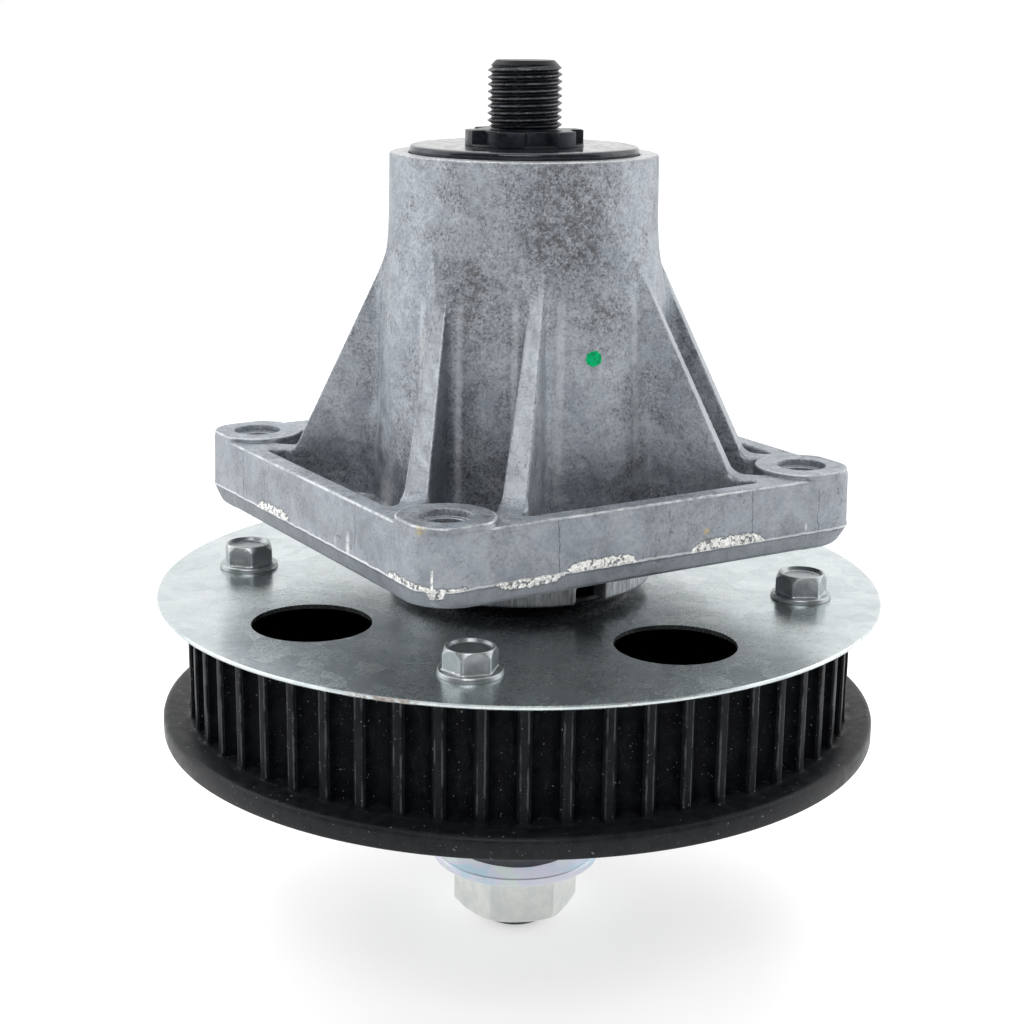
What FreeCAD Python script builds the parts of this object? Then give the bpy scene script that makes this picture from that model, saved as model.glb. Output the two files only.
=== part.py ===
# Mower deck spindle: cast housing with a square flange, blade shaft with a star drive,
# two sealed ball bearings, toothed pulley with a guard plate, and a flange nut.
# Frame: origin at the centre of the flange's underside, +Z along the shaft to the blade end.
# Every length is in millimetres.
import FreeCAD, Part
import math
import os
import Sketcher

V = FreeCAD.Vector
doc = FreeCAD.newDocument("MowerDeckSpindle")
sheet = doc.addObject("Spreadsheet::Sheet", "Dims")


class Q:
    """A number together with the sheet expression that gives it."""

    def __init__(self, v, t):
        self.v = float(v)
        self.t = t

    @staticmethod
    def of(o):
        return o if isinstance(o, Q) else Q(o, "(%r)" % float(o))

    def _op(self, o, s, f):
        o = Q.of(o)
        return Q(f(self.v, o.v), "(%s %s %s)" % (self.t, s, o.t))

    def __add__(self, o):
        return self._op(o, "+", lambda a, b: a + b)

    def __sub__(self, o):
        return self._op(o, "-", lambda a, b: a - b)

    def __mul__(self, o):
        return self._op(o, "*", lambda a, b: a * b)

    def __truediv__(self, o):
        return self._op(o, "/", lambda a, b: a / b)

    def __radd__(self, o):
        return Q.of(o) + self

    def __rsub__(self, o):
        return Q.of(o) - self

    def __rmul__(self, o):
        return Q.of(o) * self

    def __neg__(self):
        return Q(-self.v, "(0 - %s)" % self.t)


DIMS = [
    # housing casting
    ("flange_half", 50.2), ("flange_corner_r", 6.2), ("flange_top", 14.5), ("parting_z", 3.6),
    ("parting_half", 50.5), ("band_taper", 12.0), ("rim_inner_half", 46.2), ("pocket_floor", 5.0),
    ("pocket_corner_r", 2.4), ("hole_circle_r", 59.0), ("pad_r", 9.25), ("pad_top", 15.5),
    ("screw_hole_r", 3.65), ("spot_r", 4.9), ("spot_depth", 1.5),
    ("boss_r", 28.0), ("boss_bottom", -11.5), ("barrel_foot_r", 31.0), ("barrel_top_r", 27.25),
    ("barrel_low_r", 29.4), ("barrel_low_z", 49.5),
    ("barrel_mid_r", 27.85), ("barrel_mid_z", 58.0), ("barrel_high_r", 27.42), ("barrel_high_z", 65.0),
    ("barrel_top", 76.8), ("core_bore_r", 20.5), ("seat_r", 23.52),
    ("rib_off", 9.62), ("rib_foot_t", 4.98), ("rib_top_t", 2.68), ("rib_foot_x", 46.2),
    ("rib_top_x", 25.26), ("rib_top_z", 58.0), ("notch_w", 7.0), ("notch_deep", 3.5),
    ("housing_turn", 45.0),
    # ball bearings, 20 x 47 x 14
    ("bearing_r", 23.5), ("bearing_bore_r", 10.0), ("bearing_w", 14.0), ("upper_brg_z", 60.4),
    ("lower_brg_z", -9.5), ("ball_r", 3.95), ("race_r", 4.05), ("pitch_r", 16.75),
    ("outer_land_r", 20.3), ("inner_land_r", 14.35), ("seal_in_r", 14.75), ("seal_t", 1.1),
    ("cage_in_r", 15.7), ("cage_out_r", 17.8), ("cage_half", 4.6), ("cage_pocket_r", 4.05),
    # shaft
    ("shaft_r", 9.98), ("drive_r", 8.0), ("thread_r", 7.55), ("thread_core_r", 6.7),
    ("shaft_bottom", -92.0), ("lower_thread_top", -70.0), ("shaft_step", -9.1),
    ("collar_z", 78.25), ("star_z", 78.7), ("star_top", 81.4), ("star_r", 12.05),
    ("star_root_r", 9.7), ("upper_thread_z", 81.9), ("shaft_top", 95.1), ("thread_chamfer", 1.7), ("thread_tip_r", 5.85),
    ("flat_half", 6.8),
    # shields, spacer, sleeve
    ("shield_r", 23.35), ("shield_t", 1.85), ("shield_hub_r", 13.5), ("shield_bore_r", 10.05),
    ("spacer_in_r", 10.15), ("spacer_out_r", 12.75),
    ("sleeve_r", 13.0), ("sleeve_top", -13.2), ("sleeve_bottom", -75.2), ("fit_gap", 0.05),
    # pulley
    ("teeth", 56), ("drum_r", 70.61), ("drum_top", -15.1), ("drum_bottom", -39.7),
    ("flange_r", 76.24), ("flange_bottom", -44.2), ("groove_depth", 3.42), ("groove_mouth", 3.0),
    ("groove_waist", 2.6), ("rim_in_r", 63.5), ("pulley_hub_r", 19.0), ("web_rib_t", 3.6),
    ("screw_boss_r", 5.6), ("pilot_r", 2.62), ("pilot_deep", 16.0), ("rotor_turn", -40.26),
    # guard plate
    ("plate_r", 76.72), ("plate_t", 0.9), ("plate_bore_r", 13.3), ("window_r", 12.1),
    ("window_circle_r", 51.4), ("plate_screw_r", 2.8), ("screw_circle_r", 60.0),
    # plate screws
    ("head_flange_r", 6.4), ("head_flange_t", 1.1), ("head_af", 9.6), ("head_top", 5.5),
    ("dish_r", 3.7), ("dish_deep", 0.75), ("shank_r", 2.6), ("shank_len", 14.0),
    # flange nut
    ("nut_af", 23.8), ("nut_flange_r", 18.4), ("nut_flange_t", 2.1), ("nut_bottom", -88.9),
    ("nut_bore_r", 7.6), ("nut_turn", 5.2),
]
D = {}
for i, (name, value) in enumerate(DIMS, start=1):
    sheet.set("A%d" % i, name)
    sheet.set("B%d" % i, repr(value))
    sheet.setAlias("B%d" % i, name)
    D[name] = Q(value, "Dims." + name)
doc.recompute()


class G:
    pass


g = G()
for name in D:
    setattr(g, name, D[name])


def role(body, r):
    return [o for o in body.Origin.OriginFeatures if o.Role == r][0]


def new_body(name):
    b = doc.addObject("PartDesign::Body", name)
    b.Label = name
    return b


def new_sketch(body, name, plane="XY_Plane", z=None):
    sk = body.newObject("Sketcher::SketchObject", name)
    sk.AttachmentSupport = [(role(body, plane), "")]
    sk.MapMode = "FlatFace"
    if z is not None:
        z = Q.of(z)
        sk.AttachmentOffset = FreeCAD.Placement(V(0, 0, z.v), FreeCAD.Rotation())
        sk.setExpression(".AttachmentOffset.Base.z", z.t)
    return sk


def pin_point(sk, geo, pos, x, y):
    x, y = Q.of(x), Q.of(y)
    for kind, q, axis in (("DistanceX", x, -2), ("DistanceY", y, -1)):
        if abs(q.v) < 1e-9:
            sk.addConstraint(Sketcher.Constraint("PointOnObject", geo, pos, axis))
        else:
            k = sk.addConstraint(Sketcher.Constraint(kind, -1, 1, geo, pos, q.v))
            if "Dims." in q.t:
                sk.setExpression("Constraints[%d]" % k, q.t)


def polygon(sk, pts):
    """A closed polygon whose corners are pinned to sheet values."""
    n0 = sk.GeometryCount
    n = len(pts)
    q = [(Q.of(x), Q.of(y)) for x, y in pts]
    for i in range(n):
        a, b = q[i], q[(i + 1) % n]
        sk.addGeometry(Part.LineSegment(V(a[0].v, a[1].v, 0), V(b[0].v, b[1].v, 0)), False)
    for i in range(n):
        sk.addConstraint(Sketcher.Constraint("Coincident", n0 + i, 2, n0 + (i + 1) % n, 1))
    for i in range(n):
        pin_point(sk, n0 + i, 1, q[i][0], q[i][1])


def circle(sk, x, y, r):
    x, y, r = Q.of(x), Q.of(y), Q.of(r)
    k = sk.addGeometry(Part.Circle(V(x.v, y.v, 0), V(0, 0, 1), r.v), False)
    c = sk.addConstraint(Sketcher.Constraint("Radius", k, r.v))
    sk.setExpression("Constraints[%d]" % c, r.t)
    pin_point(sk, k, 3, x, y)


def rounded_square(sk, half, r, turned):
    """Rounded square about the origin; turned puts its corners on the axes."""
    h, rr = Q.of(half).v, Q.of(r).v
    ang = math.radians(45.0 if turned else 0.0)

    def p(x, y):
        return V(x * math.cos(ang) - y * math.sin(ang), x * math.sin(ang) + y * math.cos(ang), 0)

    arcs, n0 = [], sk.GeometryCount
    k = rr * (1 - math.sqrt(0.5))
    pts = []
    for sx, sy in ((1, 1), (-1, 1), (-1, -1), (1, -1)):
        a = (sx * h, sy * (h - rr))
        b = (sx * (h - rr), sy * h)
        if sx * sy < 0:
            a, b = b, a
        m = (sx * (h - k), sy * (h - k))
        pts.append((a, m, b))
    for i in range(4):
        a, m, b = pts[i]
        sk.addGeometry(Part.Arc(p(*a), p(*m), p(*b)), False)
        c = pts[(i + 1) % 4][0]
        sk.addGeometry(Part.LineSegment(p(*b), p(*c)), False)
    for i in range(4):
        sk.addConstraint(Sketcher.Constraint("Block", n0 + 2 * i))
        sk.addConstraint(Sketcher.Constraint("Block", n0 + 2 * i + 1))


def feature(body, kind, name, sk=None, **props):
    f = body.newObject("PartDesign::" + kind, name)
    if sk is not None:
        f.Profile = sk
        sk.Visibility = False
    for key, val in props.items():
        if isinstance(val, Q):
            setattr(f, key, val.v)
            f.setExpression(key, val.t)
        else:
            setattr(f, key, val)
    return f


def revolve(body, name, pts, kind="Revolution"):
    sk = new_sketch(body, name + "_profile", "XZ_Plane")
    polygon(sk, pts)
    f = feature(body, kind, name, sk)
    f.ReferenceAxis = (role(body, "Z_Axis"), [""])
    f.Angle = 360.0
    doc.recompute()
    return f


def pattern(body, name, originals, count):
    f = body.newObject("PartDesign::PolarPattern", name)
    f.Originals = originals
    f.Axis = (role(body, "Z_Axis"), [""])
    f.Angle = 360.0
    f.Occurrences = int(count)
    body.Tip = f
    doc.recompute()
    return f


def cut_check(body, name, before):
    after = body.Shape.Volume
    if not after < before - 1e-3:
        raise RuntimeError("%s removed nothing from %s" % (name, body.Label))
    return after


def edges_where(shape, test):
    out = []
    for i, e in enumerate(shape.Edges, start=1):
        if test(e):
            out.append("Edge%d" % i)
    return out


def fillet(body, name, base, names, r, kind="Fillet"):
    f = body.newObject("PartDesign::" + kind, name)
    f.Base = (base, names)
    if kind == "Fillet":
        f.Radius = Q.of(r).v
    else:
        f.Size = Q.of(r).v
    if isinstance(r, Q):
        f.setExpression("Radius" if kind == "Fillet" else "Size", r.t)
    body.Tip = f
    doc.recompute()
    if "Invalid" in f.State or body.Shape.isNull() or not body.Shape.isValid():
        raise RuntimeError("%s failed on %s" % (name, body.Label))
    return f


def turn(body, angle):
    angle = Q.of(angle)
    body.Placement = FreeCAD.Placement(V(0, 0, 0), FreeCAD.Rotation(V(0, 0, 1), angle.v))
    body.setExpression(".Placement.Rotation.Angle", angle.t)


def along_z(e):
    if len(e.Vertexes) != 2 or not isinstance(e.Curve, Part.Line):
        return False
    a, b = e.Vertexes[0].Point, e.Vertexes[1].Point
    return abs(a.x - b.x) < 1e-6 and abs(a.y - b.y) < 1e-6


def ring_edge(e, r, z):
    return (isinstance(e.Curve, Part.Circle) and abs(e.Curve.Radius - Q.of(r).v) < 1e-4
            and abs(e.Curve.Center.z - Q.of(z).v) < 1e-4 and abs(e.Curve.Center.x) < 1e-6
            and abs(e.Curve.Center.y) < 1e-6)


SQ2 = math.sqrt(2.0)

# ---------------------------------------------------------------- housing casting
# Built with its screw holes on the X and Y axes, then turned so that the flange is square to them.
hb = new_body("housing_casting")
sk = new_sketch(hb, "flange_outline", z=g.parting_z)
rounded_square(sk, g.flange_half, g.flange_corner_r, True)
feature(hb, "Pad", "flange_slab", sk, Length=g.flange_top - g.parting_z)
doc.recompute()
sk = new_sketch(hb, "lower_band_outline", z=g.parting_z)
rounded_square(sk, g.parting_half, g.flange_corner_r + 0.3, True)
f = feature(hb, "Pad", "lower_band", sk, Length=g.parting_z, TaperAngle=-g.band_taper)
f.Reversed = True
f.TaperAngle = -g.band_taper.v
f.setExpression("TaperAngle", "0 - Dims.band_taper")
doc.recompute()
top_area = [fc for fc in hb.Shape.Faces if abs(fc.CenterOfMass.z) < 1e-6]
if top_area and top_area[0].BoundBox.XMax > g.parting_half.v * SQ2 - 3.2:
    f.setExpression("TaperAngle", "Dims.band_taper")
    f.TaperAngle = g.band_taper.v
    doc.recompute()
vol = hb.Shape.Volume

# four trays between the rim and the barrel
strip = g.rib_off + g.rib_foot_t / 2.0
leg = g.rim_inner_half * SQ2 - strip
sk = new_sketch(hb, "tray_outline", z=g.flange_top)
polygon(sk, [(-strip, -strip), (-leg, -strip), (-strip, -leg)])
tray = feature(hb, "Pocket", "tray", sk, Length=g.flange_top - g.pocket_floor)
doc.recompute()
pattern(hb, "trays", [tray], 4)
vol = cut_check(hb, "trays", vol)
tips = []
for sx in (1, -1):
    for sy in (1, -1):
        tips += [(sx * leg.v, sy * strip.v), (sx * strip.v, sy * leg.v)]
names = edges_where(hb.Shape, lambda e: along_z(e) and any(
    abs(e.Vertexes[0].X - x) < 0.05 and abs(e.Vertexes[0].Y - y) < 0.05 for x, y in tips))
fillet(hb, "tray_tips", hb.Tip, names, g.pocket_corner_r)
vol = hb.Shape.Volume

# four small pockets between the ribs of each pair
inner = g.rib_off - g.rib_foot_t / 2.0
sk = new_sketch(hb, "corner_pocket_outline", z=g.flange_top)
polygon(sk, [(20.0, -inner), (g.hole_circle_r - 4.6, -inner), (g.hole_circle_r - 4.6, inner), (20.0, inner)])
cp = feature(hb, "Pocket", "corner_pocket", sk, Length=g.flange_top - g.pocket_floor)
doc.recompute()
pattern(hb, "corner_pockets", [cp], 4)
vol = cut_check(hb, "corner_pockets", vol)

# screw pads
sk = new_sketch(hb, "pad_circle", z=0.0)
circle(sk, g.hole_circle_r, 0.0, g.pad_r)
pd = feature(hb, "Pad", "screw_pad", sk, Length=g.pad_top)
doc.recompute()
pattern(hb, "screw_pads", [pd], 4)
# trim what stands out of the flange's wall
vol = hb.Shape.Volume
sk = new_sketch(hb, "wall_trim_outline", z=g.parting_z)
rounded_square(sk, g.flange_half, g.flange_corner_r, True)
circle(sk, 0.0, 0.0, 90.0)
f = feature(hb, "Pocket", "wall_trim", sk, Length=20.0)
f.Reversed = True
doc.recompute()
vol = cut_check(hb, "wall_trim", vol)
sk = new_sketch(hb, "band_trim_outline", z=0.0)
rounded_square(sk, g.parting_half - 0.8, g.flange_corner_r - 0.2, True)
circle(sk, 0.0, 0.0, 90.0)
f = feature(hb, "Pocket", "band_trim", sk, Length=g.parting_z, TaperAngle=g.band_taper)
f.Reversed = True
doc.recompute()

# barrel and pilot boss
revolve(hb, "barrel", [
    (0.0, g.boss_bottom), (g.boss_r - 0.6, g.boss_bottom), (g.boss_r, g.boss_bottom + 0.6),
    (g.boss_r, 0.5), (g.barrel_foot_r, 0.5), (g.barrel_foot_r, g.pocket_floor + 1.0),
    (g.barrel_low_r, g.barrel_low_z), (g.barrel_mid_r, g.barrel_mid_z), (g.barrel_high_r, g.barrel_high_z),
    (g.barrel_top_r, g.barrel_top - 0.4), (g.barrel_top_r - 0.4, g.barrel_top), (0.0, g.barrel_top)])

# ribs, two at each corner, thicker and further out at the foot
wedges = []
for tag, s in (("a", 1.0), ("b", -1.0)):
    w = hb.newObject("PartDesign::AdditiveWedge", "rib_" + tag)
    w.Placement = FreeCAD.Placement(V(0, 0, 0), FreeCAD.Rotation(V(1, 0, 0), 90))
    mid = g.rib_off * (-s)
    for key, q in (("Xmin", Q.of(20.0)), ("Xmax", g.rib_foot_x), ("X2min", Q.of(20.0)), ("X2max", g.rib_top_x),
                   ("Ymin", g.flange_top - 0.02), ("Ymax", g.rib_top_z),
                   ("Zmin", mid - g.rib_foot_t / 2.0), ("Zmax", mid + g.rib_foot_t / 2.0),
                   ("Z2min", mid - g.rib_top_t / 2.0), ("Z2max", mid + g.rib_top_t / 2.0)):
        setattr(w, key, q.v)
        if "Dims." in q.t:
            w.setExpression(key, q.t)
    wedges.append(w)
    doc.recompute()
pattern(hb, "ribs", wedges, 4)

# bores for the bearings, open from end to end
vol = hb.Shape.Volume
revolve(hb, "bores", [
    (0.0, g.barrel_top + 1.0), (g.seat_r + 0.6, g.barrel_top + 1.0), (g.seat_r + 0.6, g.barrel_top),
    (g.seat_r, g.barrel_top - 0.6), (g.seat_r, g.upper_brg_z), (g.core_bore_r, g.upper_brg_z),
    (g.core_bore_r, g.lower_brg_z + g.bearing_w), (g.seat_r, g.lower_brg_z + g.bearing_w),
    (g.seat_r, g.boss_bottom + 0.5), (g.seat_r + 0.5, g.boss_bottom), (g.seat_r + 0.5, g.boss_bottom - 1.0),
    (0.0, g.boss_bottom - 1.0)], kind="Groove")
vol = cut_check(hb, "bores", vol)

# cored screw holes with a shallow spot face
sk = new_sketch(hb, "screw_hole_circle", z=g.pad_top)
circle(sk, g.hole_circle_r, 0.0, g.screw_hole_r)
h1 = feature(hb, "Pocket", "screw_hole", sk, Length=g.pad_top + 1.0)
doc.recompute()
sk = new_sketch(hb, "spot_circle", z=g.pad_top)
circle(sk, g.hole_circle_r, 0.0, g.spot_r)
h2 = feature(hb, "Pocket", "spot_face", sk, Length=g.spot_depth)
doc.recompute()
pattern(hb, "screw_holes", [h1, h2], 4)
vol = cut_check(hb, "screw_holes", vol)

# two pry notches in the boss, on the Y axis of the finished part
sk = new_sketch(hb, "notch_outline", z=g.boss_bottom)
c45 = math.sqrt(0.5)
corners = [(-1.0, 22.0), (1.0, 22.0), (1.0, 30.0), (-1.0, 30.0)]
polygon(sk, [((g.notch_w / 2.0 * t - Q.of(u)) * c45, (g.notch_w / 2.0 * (-t) - Q.of(u)) * c45) for t, u in corners])
nt = feature(hb, "Pocket", "notch", sk, Length=g.notch_deep)
nt.Reversed = True
doc.recompute()
pattern(hb, "notches", [nt], 2)
vol = cut_check(hb, "notches", vol)

# the flange's sides stand square to the row's axes
turn(hb, g.housing_turn)
doc.recompute()


# ---------------------------------------------------------------- ball bearings
def bearing(prefix, z0):
    mid = z0 + g.bearing_w / 2.0
    c = Q.of(0.35)
    # outer ring with its ball groove
    b = new_body(prefix + "_bearing_outer_ring")
    revolve(b, prefix + "_outer_turned", [
        (g.outer_land_r, z0), (g.bearing_r - c, z0), (g.bearing_r, z0 + c),
        (g.bearing_r, z0 + g.bearing_w - c), (g.bearing_r - c, z0 + g.bearing_w), (g.outer_land_r, z0 + g.bearing_w)])
    v0 = b.Shape.Volume
    sk = new_sketch(b, prefix + "_outer_race", "XZ_Plane")
    circle(sk, g.pitch_r, mid, g.race_r)
    f = feature(b, "Groove", prefix + "_outer_groove", sk)
    f.ReferenceAxis = (role(b, "Z_Axis"), [""])
    f.Angle = 360.0
    doc.recompute()
    cut_check(b, "outer race", v0)
    # inner ring
    b = new_body(prefix + "_bearing_inner_ring")
    revolve(b, prefix + "_inner_turned", [
        (g.bearing_bore_r + c, z0), (g.inner_land_r, z0), (g.inner_land_r, z0 + g.bearing_w),
        (g.bearing_bore_r + c, z0 + g.bearing_w), (g.bearing_bore_r, z0 + g.bearing_w - c), (g.bearing_bore_r, z0 + c)])
    v0 = b.Shape.Volume
    sk = new_sketch(b, prefix + "_inner_race", "XZ_Plane")
    circle(sk, g.pitch_r, mid, g.race_r)
    f = feature(b, "Groove", prefix + "_inner_groove", sk)
    f.ReferenceAxis = (role(b, "Z_Axis"), [""])
    f.Angle = 360.0
    doc.recompute()
    cut_check(b, "inner race", v0)
    # cage with eight ball pockets
    b = new_body(prefix + "_bearing_cage")
    revolve(b, prefix + "_cage_turned", [
        (g.cage_in_r, mid - g.cage_half), (g.cage_out_r, mid - g.cage_half),
        (g.cage_out_r, mid + g.cage_half), (g.cage_in_r, mid + g.cage_half)])
    v0 = b.Shape.Volume
    sk = new_sketch(b, prefix + "_cage_window", "YZ_Plane")
    circle(sk, 0.0, mid, g.cage_pocket_r)
    f = feature(b, "Pocket", prefix + "_cage_pocket", sk, Length=Q.of(30.0))
    f.Reversed = True
    doc.recompute()
    if b.Shape.Volume > v0 - 1.0:
        f.Reversed = False
        doc.recompute()
    pattern(b, prefix + "_cage_pockets", [f], 8)
    cut_check(b, "cage pockets", v0)
    # two seals held by the outer ring
    for tag, zs in (("bottom", z0 + 0.35), ("top", z0 + g.bearing_w - 0.35 - g.seal_t)):
        b = new_body("%s_bearing_%s_seal" % (prefix, tag))
        revolve(b, "%s_%s_seal_ring" % (prefix, tag), [
            (g.seal_in_r, zs), (g.outer_land_r, zs), (g.outer_land_r, zs + g.seal_t), (g.seal_in_r, zs + g.seal_t)])
    # eight balls, separate solids in one group
    balls = []
    for k in range(8):
        sp = doc.addObject("Part::Sphere", "%s_ball_%d" % (prefix, k + 1))
        sp.Radius = g.ball_r.v
        sp.setExpression("Radius", g.ball_r.t)
        sp.Placement = FreeCAD.Placement(V(0, 0, 0), FreeCAD.Rotation())
        cs, sn = math.cos(k * math.pi / 4), math.sin(k * math.pi / 4)
        sp.setExpression(".Placement.Base.x", "%s * (%r)" % (g.pitch_r.t, cs))
        sp.setExpression(".Placement.Base.y", "%s * (%r)" % (g.pitch_r.t, sn))
        sp.setExpression(".Placement.Base.z", mid.t)
        balls.append(sp)
    doc.recompute()
    comp = doc.addObject("Part::Compound", prefix + "_bearing_balls")
    comp.Label = prefix + "_bearing_balls"
    comp.Links = balls
    doc.recompute()


bearing("upper", g.upper_brg_z)
bearing("lower", g.lower_brg_z)

b = new_body("bearing_spacer")
revolve(b, "spacer_tube", [
    (g.spacer_in_r, g.lower_brg_z + g.bearing_w), (g.spacer_out_r, g.lower_brg_z + g.bearing_w),
    (g.spacer_out_r, g.upper_brg_z), (g.spacer_in_r, g.upper_brg_z)])

# ---------------------------------------------------------------- shaft
sb = new_body("spindle_shaft")
revolve(sb, "shaft_turned", [
    (0.0, g.shaft_bottom), (g.thread_tip_r, g.shaft_bottom), (g.thread_r, g.shaft_bottom + g.thread_chamfer),
    (g.thread_r, g.lower_thread_top), (g.drive_r, g.lower_thread_top), (g.drive_r, g.shaft_step),
    (g.shaft_r, g.shaft_step), (g.shaft_r, g.collar_z), (g.star_r, g.collar_z), (g.star_r, g.star_z),
    (g.thread_core_r, g.star_z), (g.thread_core_r, g.upper_thread_z), (g.thread_r, g.upper_thread_z),
    (g.thread_r, g.shaft_top - g.thread_chamfer), (g.thread_tip_r, g.shaft_top), (0.0, g.shaft_top)])
# star drive with six lobes
sk = new_sketch(sb, "star_outline", z=g.star_z)
n = 0
half_lobe, half_root = 15.0, 11.5
pts = []
for k in range(6):
    a = 60.0 * k
    pts.append([(g.star_r.v, a - half_lobe), (g.star_r.v, a), (g.star_r.v, a + half_lobe)])
    pts.append([(g.star_root_r.v, a + 30 - half_root), (g.star_root_r.v, a + 30), (g.star_root_r.v, a + 30 + half_root)])


def polar(r, a):
    return V(r * math.cos(math.radians(a)), r * math.sin(math.radians(a)), 0)


for i in range(12):
    p0, p1, p2 = [polar(*q) for q in pts[i]]
    nx = polar(*pts[(i + 1) % 12][0])
    sk.addGeometry(Part.Arc(p0, p1, p2), False)
    sk.addGeometry(Part.LineSegment(p2, nx), False)
for i in range(24):
    sk.addConstraint(Sketcher.Constraint("Block", i))
feature(sb, "Pad", "star", sk, Length=g.star_top - g.star_z)
doc.recompute()
# two flats that drive the sleeve
vol = sb.Shape.Volume
sk = new_sketch(sb, "flat_outline", z=g.sleeve_bottom + 1.0)
polygon(sk, [(g.flat_half, -9.0), (12.0, -9.0), (12.0, 9.0), (g.flat_half, 9.0)])
fl = feature(sb, "Pocket", "flat", sk, Length=g.sleeve_top - g.sleeve_bottom - 1.0)
fl.Reversed = True
doc.recompute()
pattern(sb, "flats", [fl], 2)
cut_check(sb, "flats", vol)
# lobes stand at 45 degrees to the row's axes
turn(sb, 45.0)
doc.recompute()

# ---------------------------------------------------------------- dust shields
b = new_body("upper_dust_shield")
ztop = g.collar_z
z1 = g.upper_brg_z + g.bearing_w
revolve(b, "upper_shield_turned", [
    (g.shield_bore_r, z1), (g.shield_hub_r, z1), (g.shield_hub_r, ztop - g.shield_t), (g.shield_r - 0.5, ztop - g.shield_t),
    (g.shield_r, ztop - g.shield_t + 0.5), (g.shield_r, ztop - 0.6), (g.shield_r - 0.18, ztop - 0.18),
    (g.shield_r - 0.6, ztop), (g.shield_bore_r, ztop)])
b = new_body("lower_dust_shield")
z2 = g.lower_brg_z
revolve(b, "lower_shield_turned", [
    (g.shield_bore_r, g.sleeve_top), (g.shield_r - 0.6, g.sleeve_top), (g.shield_r - 0.18, g.sleeve_top + 0.18),
    (g.shield_r, g.sleeve_top + 0.6), (g.shield_r, g.sleeve_top + g.shield_t - 0.5),
    (g.shield_r - 0.5, g.sleeve_top + g.shield_t), (g.shield_hub_r, g.sleeve_top + g.shield_t), (g.shield_hub_r, z2), (g.shield_bore_r, z2)])

# ---------------------------------------------------------------- hub sleeve
b = new_body("hub_sleeve")
sk = new_sketch(b, "sleeve_outline", z=g.sleeve_bottom)
circle(sk, 0.0, 0.0, g.sleeve_r)
feature(b, "Pad", "sleeve_bar", sk, Length=g.sleeve_top - g.sleeve_bottom)
doc.recompute()
vol = b.Shape.Volume
rr = g.drive_r.v + g.fit_gap.v
hf = g.flat_half.v + g.fit_gap.v
yy = math.sqrt(rr * rr - hf * hf)
sk = new_sketch(b, "sleeve_bore", z=g.sleeve_top)
sk.addGeometry(Part.LineSegment(V(hf, -yy, 0), V(hf, yy, 0)), False)
sk.addGeometry(Part.Arc(V(hf, yy, 0), V(0, rr, 0), V(-hf, yy, 0)), False)
sk.addGeometry(Part.LineSegment(V(-hf, yy, 0), V(-hf, -yy, 0)), False)
sk.addGeometry(Part.Arc(V(-hf, -yy, 0), V(0, -rr, 0), V(hf, -yy, 0)), False)
for i in range(4):
    sk.addConstraint(Sketcher.Constraint("Block", i))
feature(b, "Pocket", "double_flat_bore", sk, Length=g.sleeve_top - g.sleeve_bottom + 1.0)
doc.recompute()
cut_check(b, "sleeve bore", vol)
turn(b, 45.0)
doc.recompute()

# ---------------------------------------------------------------- toothed pulley
pb = new_body("toothed_pulley")
revolve(pb, "pulley_turned", [
    (g.sleeve_r, g.flange_bottom - 3.0), (g.pulley_hub_r - 0.8, g.flange_bottom - 3.0),
    (g.pulley_hub_r, g.flange_bottom - 2.2), (g.pulley_hub_r, g.flange_bottom),
    (g.flange_r - 1.0, g.flange_bottom), (g.flange_r - 0.3, g.flange_bottom + 0.3),
    (g.flange_r, g.flange_bottom + 1.0), (g.flange_r, g.drum_bottom - 1.0), (g.flange_r - 0.3, g.drum_bottom - 0.3),
    (g.flange_r - 1.0, g.drum_bottom), (g.drum_r, g.drum_bottom), (g.drum_r, g.drum_top), (g.rim_in_r, g.drum_top),
    (g.rim_in_r - 0.6, g.drum_bottom), (g.pulley_hub_r + 0.6, g.drum_bottom), (g.pulley_hub_r, g.drum_top),
    (g.sleeve_r, g.drum_top)])
# four radial webs, each ending in a screw boss against the rim
sk = new_sketch(pb, "web_outline", z=g.drum_bottom - 0.5)
polygon(sk, [(16.0, -(g.web_rib_t / 2.0)), (65.0, -(g.web_rib_t / 2.0)), (65.0, g.web_rib_t / 2.0), (16.0, g.web_rib_t / 2.0)])
w1 = feature(pb, "Pad", "radial_web", sk, Length=g.drum_top - g.drum_bottom + 0.5 - 3.0)
doc.recompute()
sk = new_sketch(pb, "screw_boss_circle", z=g.drum_bottom - 0.5)
circle(sk, g.screw_circle_r, 0.0, g.screw_boss_r)
w2 = feature(pb, "Pad", "screw_boss", sk, Length=g.drum_top - g.drum_bottom + 0.5)
doc.recompute()
pattern(pb, "radial_webs", [w1, w2], 4)
vol = pb.Shape.Volume
sk = new_sketch(pb, "pilot_circle", z=g.drum_top)
circle(sk, g.screw_circle_r, 0.0, g.pilot_r)
w3 = feature(pb, "Pocket", "pilot_hole", sk, Length=g.pilot_deep)
doc.recompute()
pattern(pb, "pilot_holes", [w3], 4)
vol = cut_check(pb, "pilot holes", vol)
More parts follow.
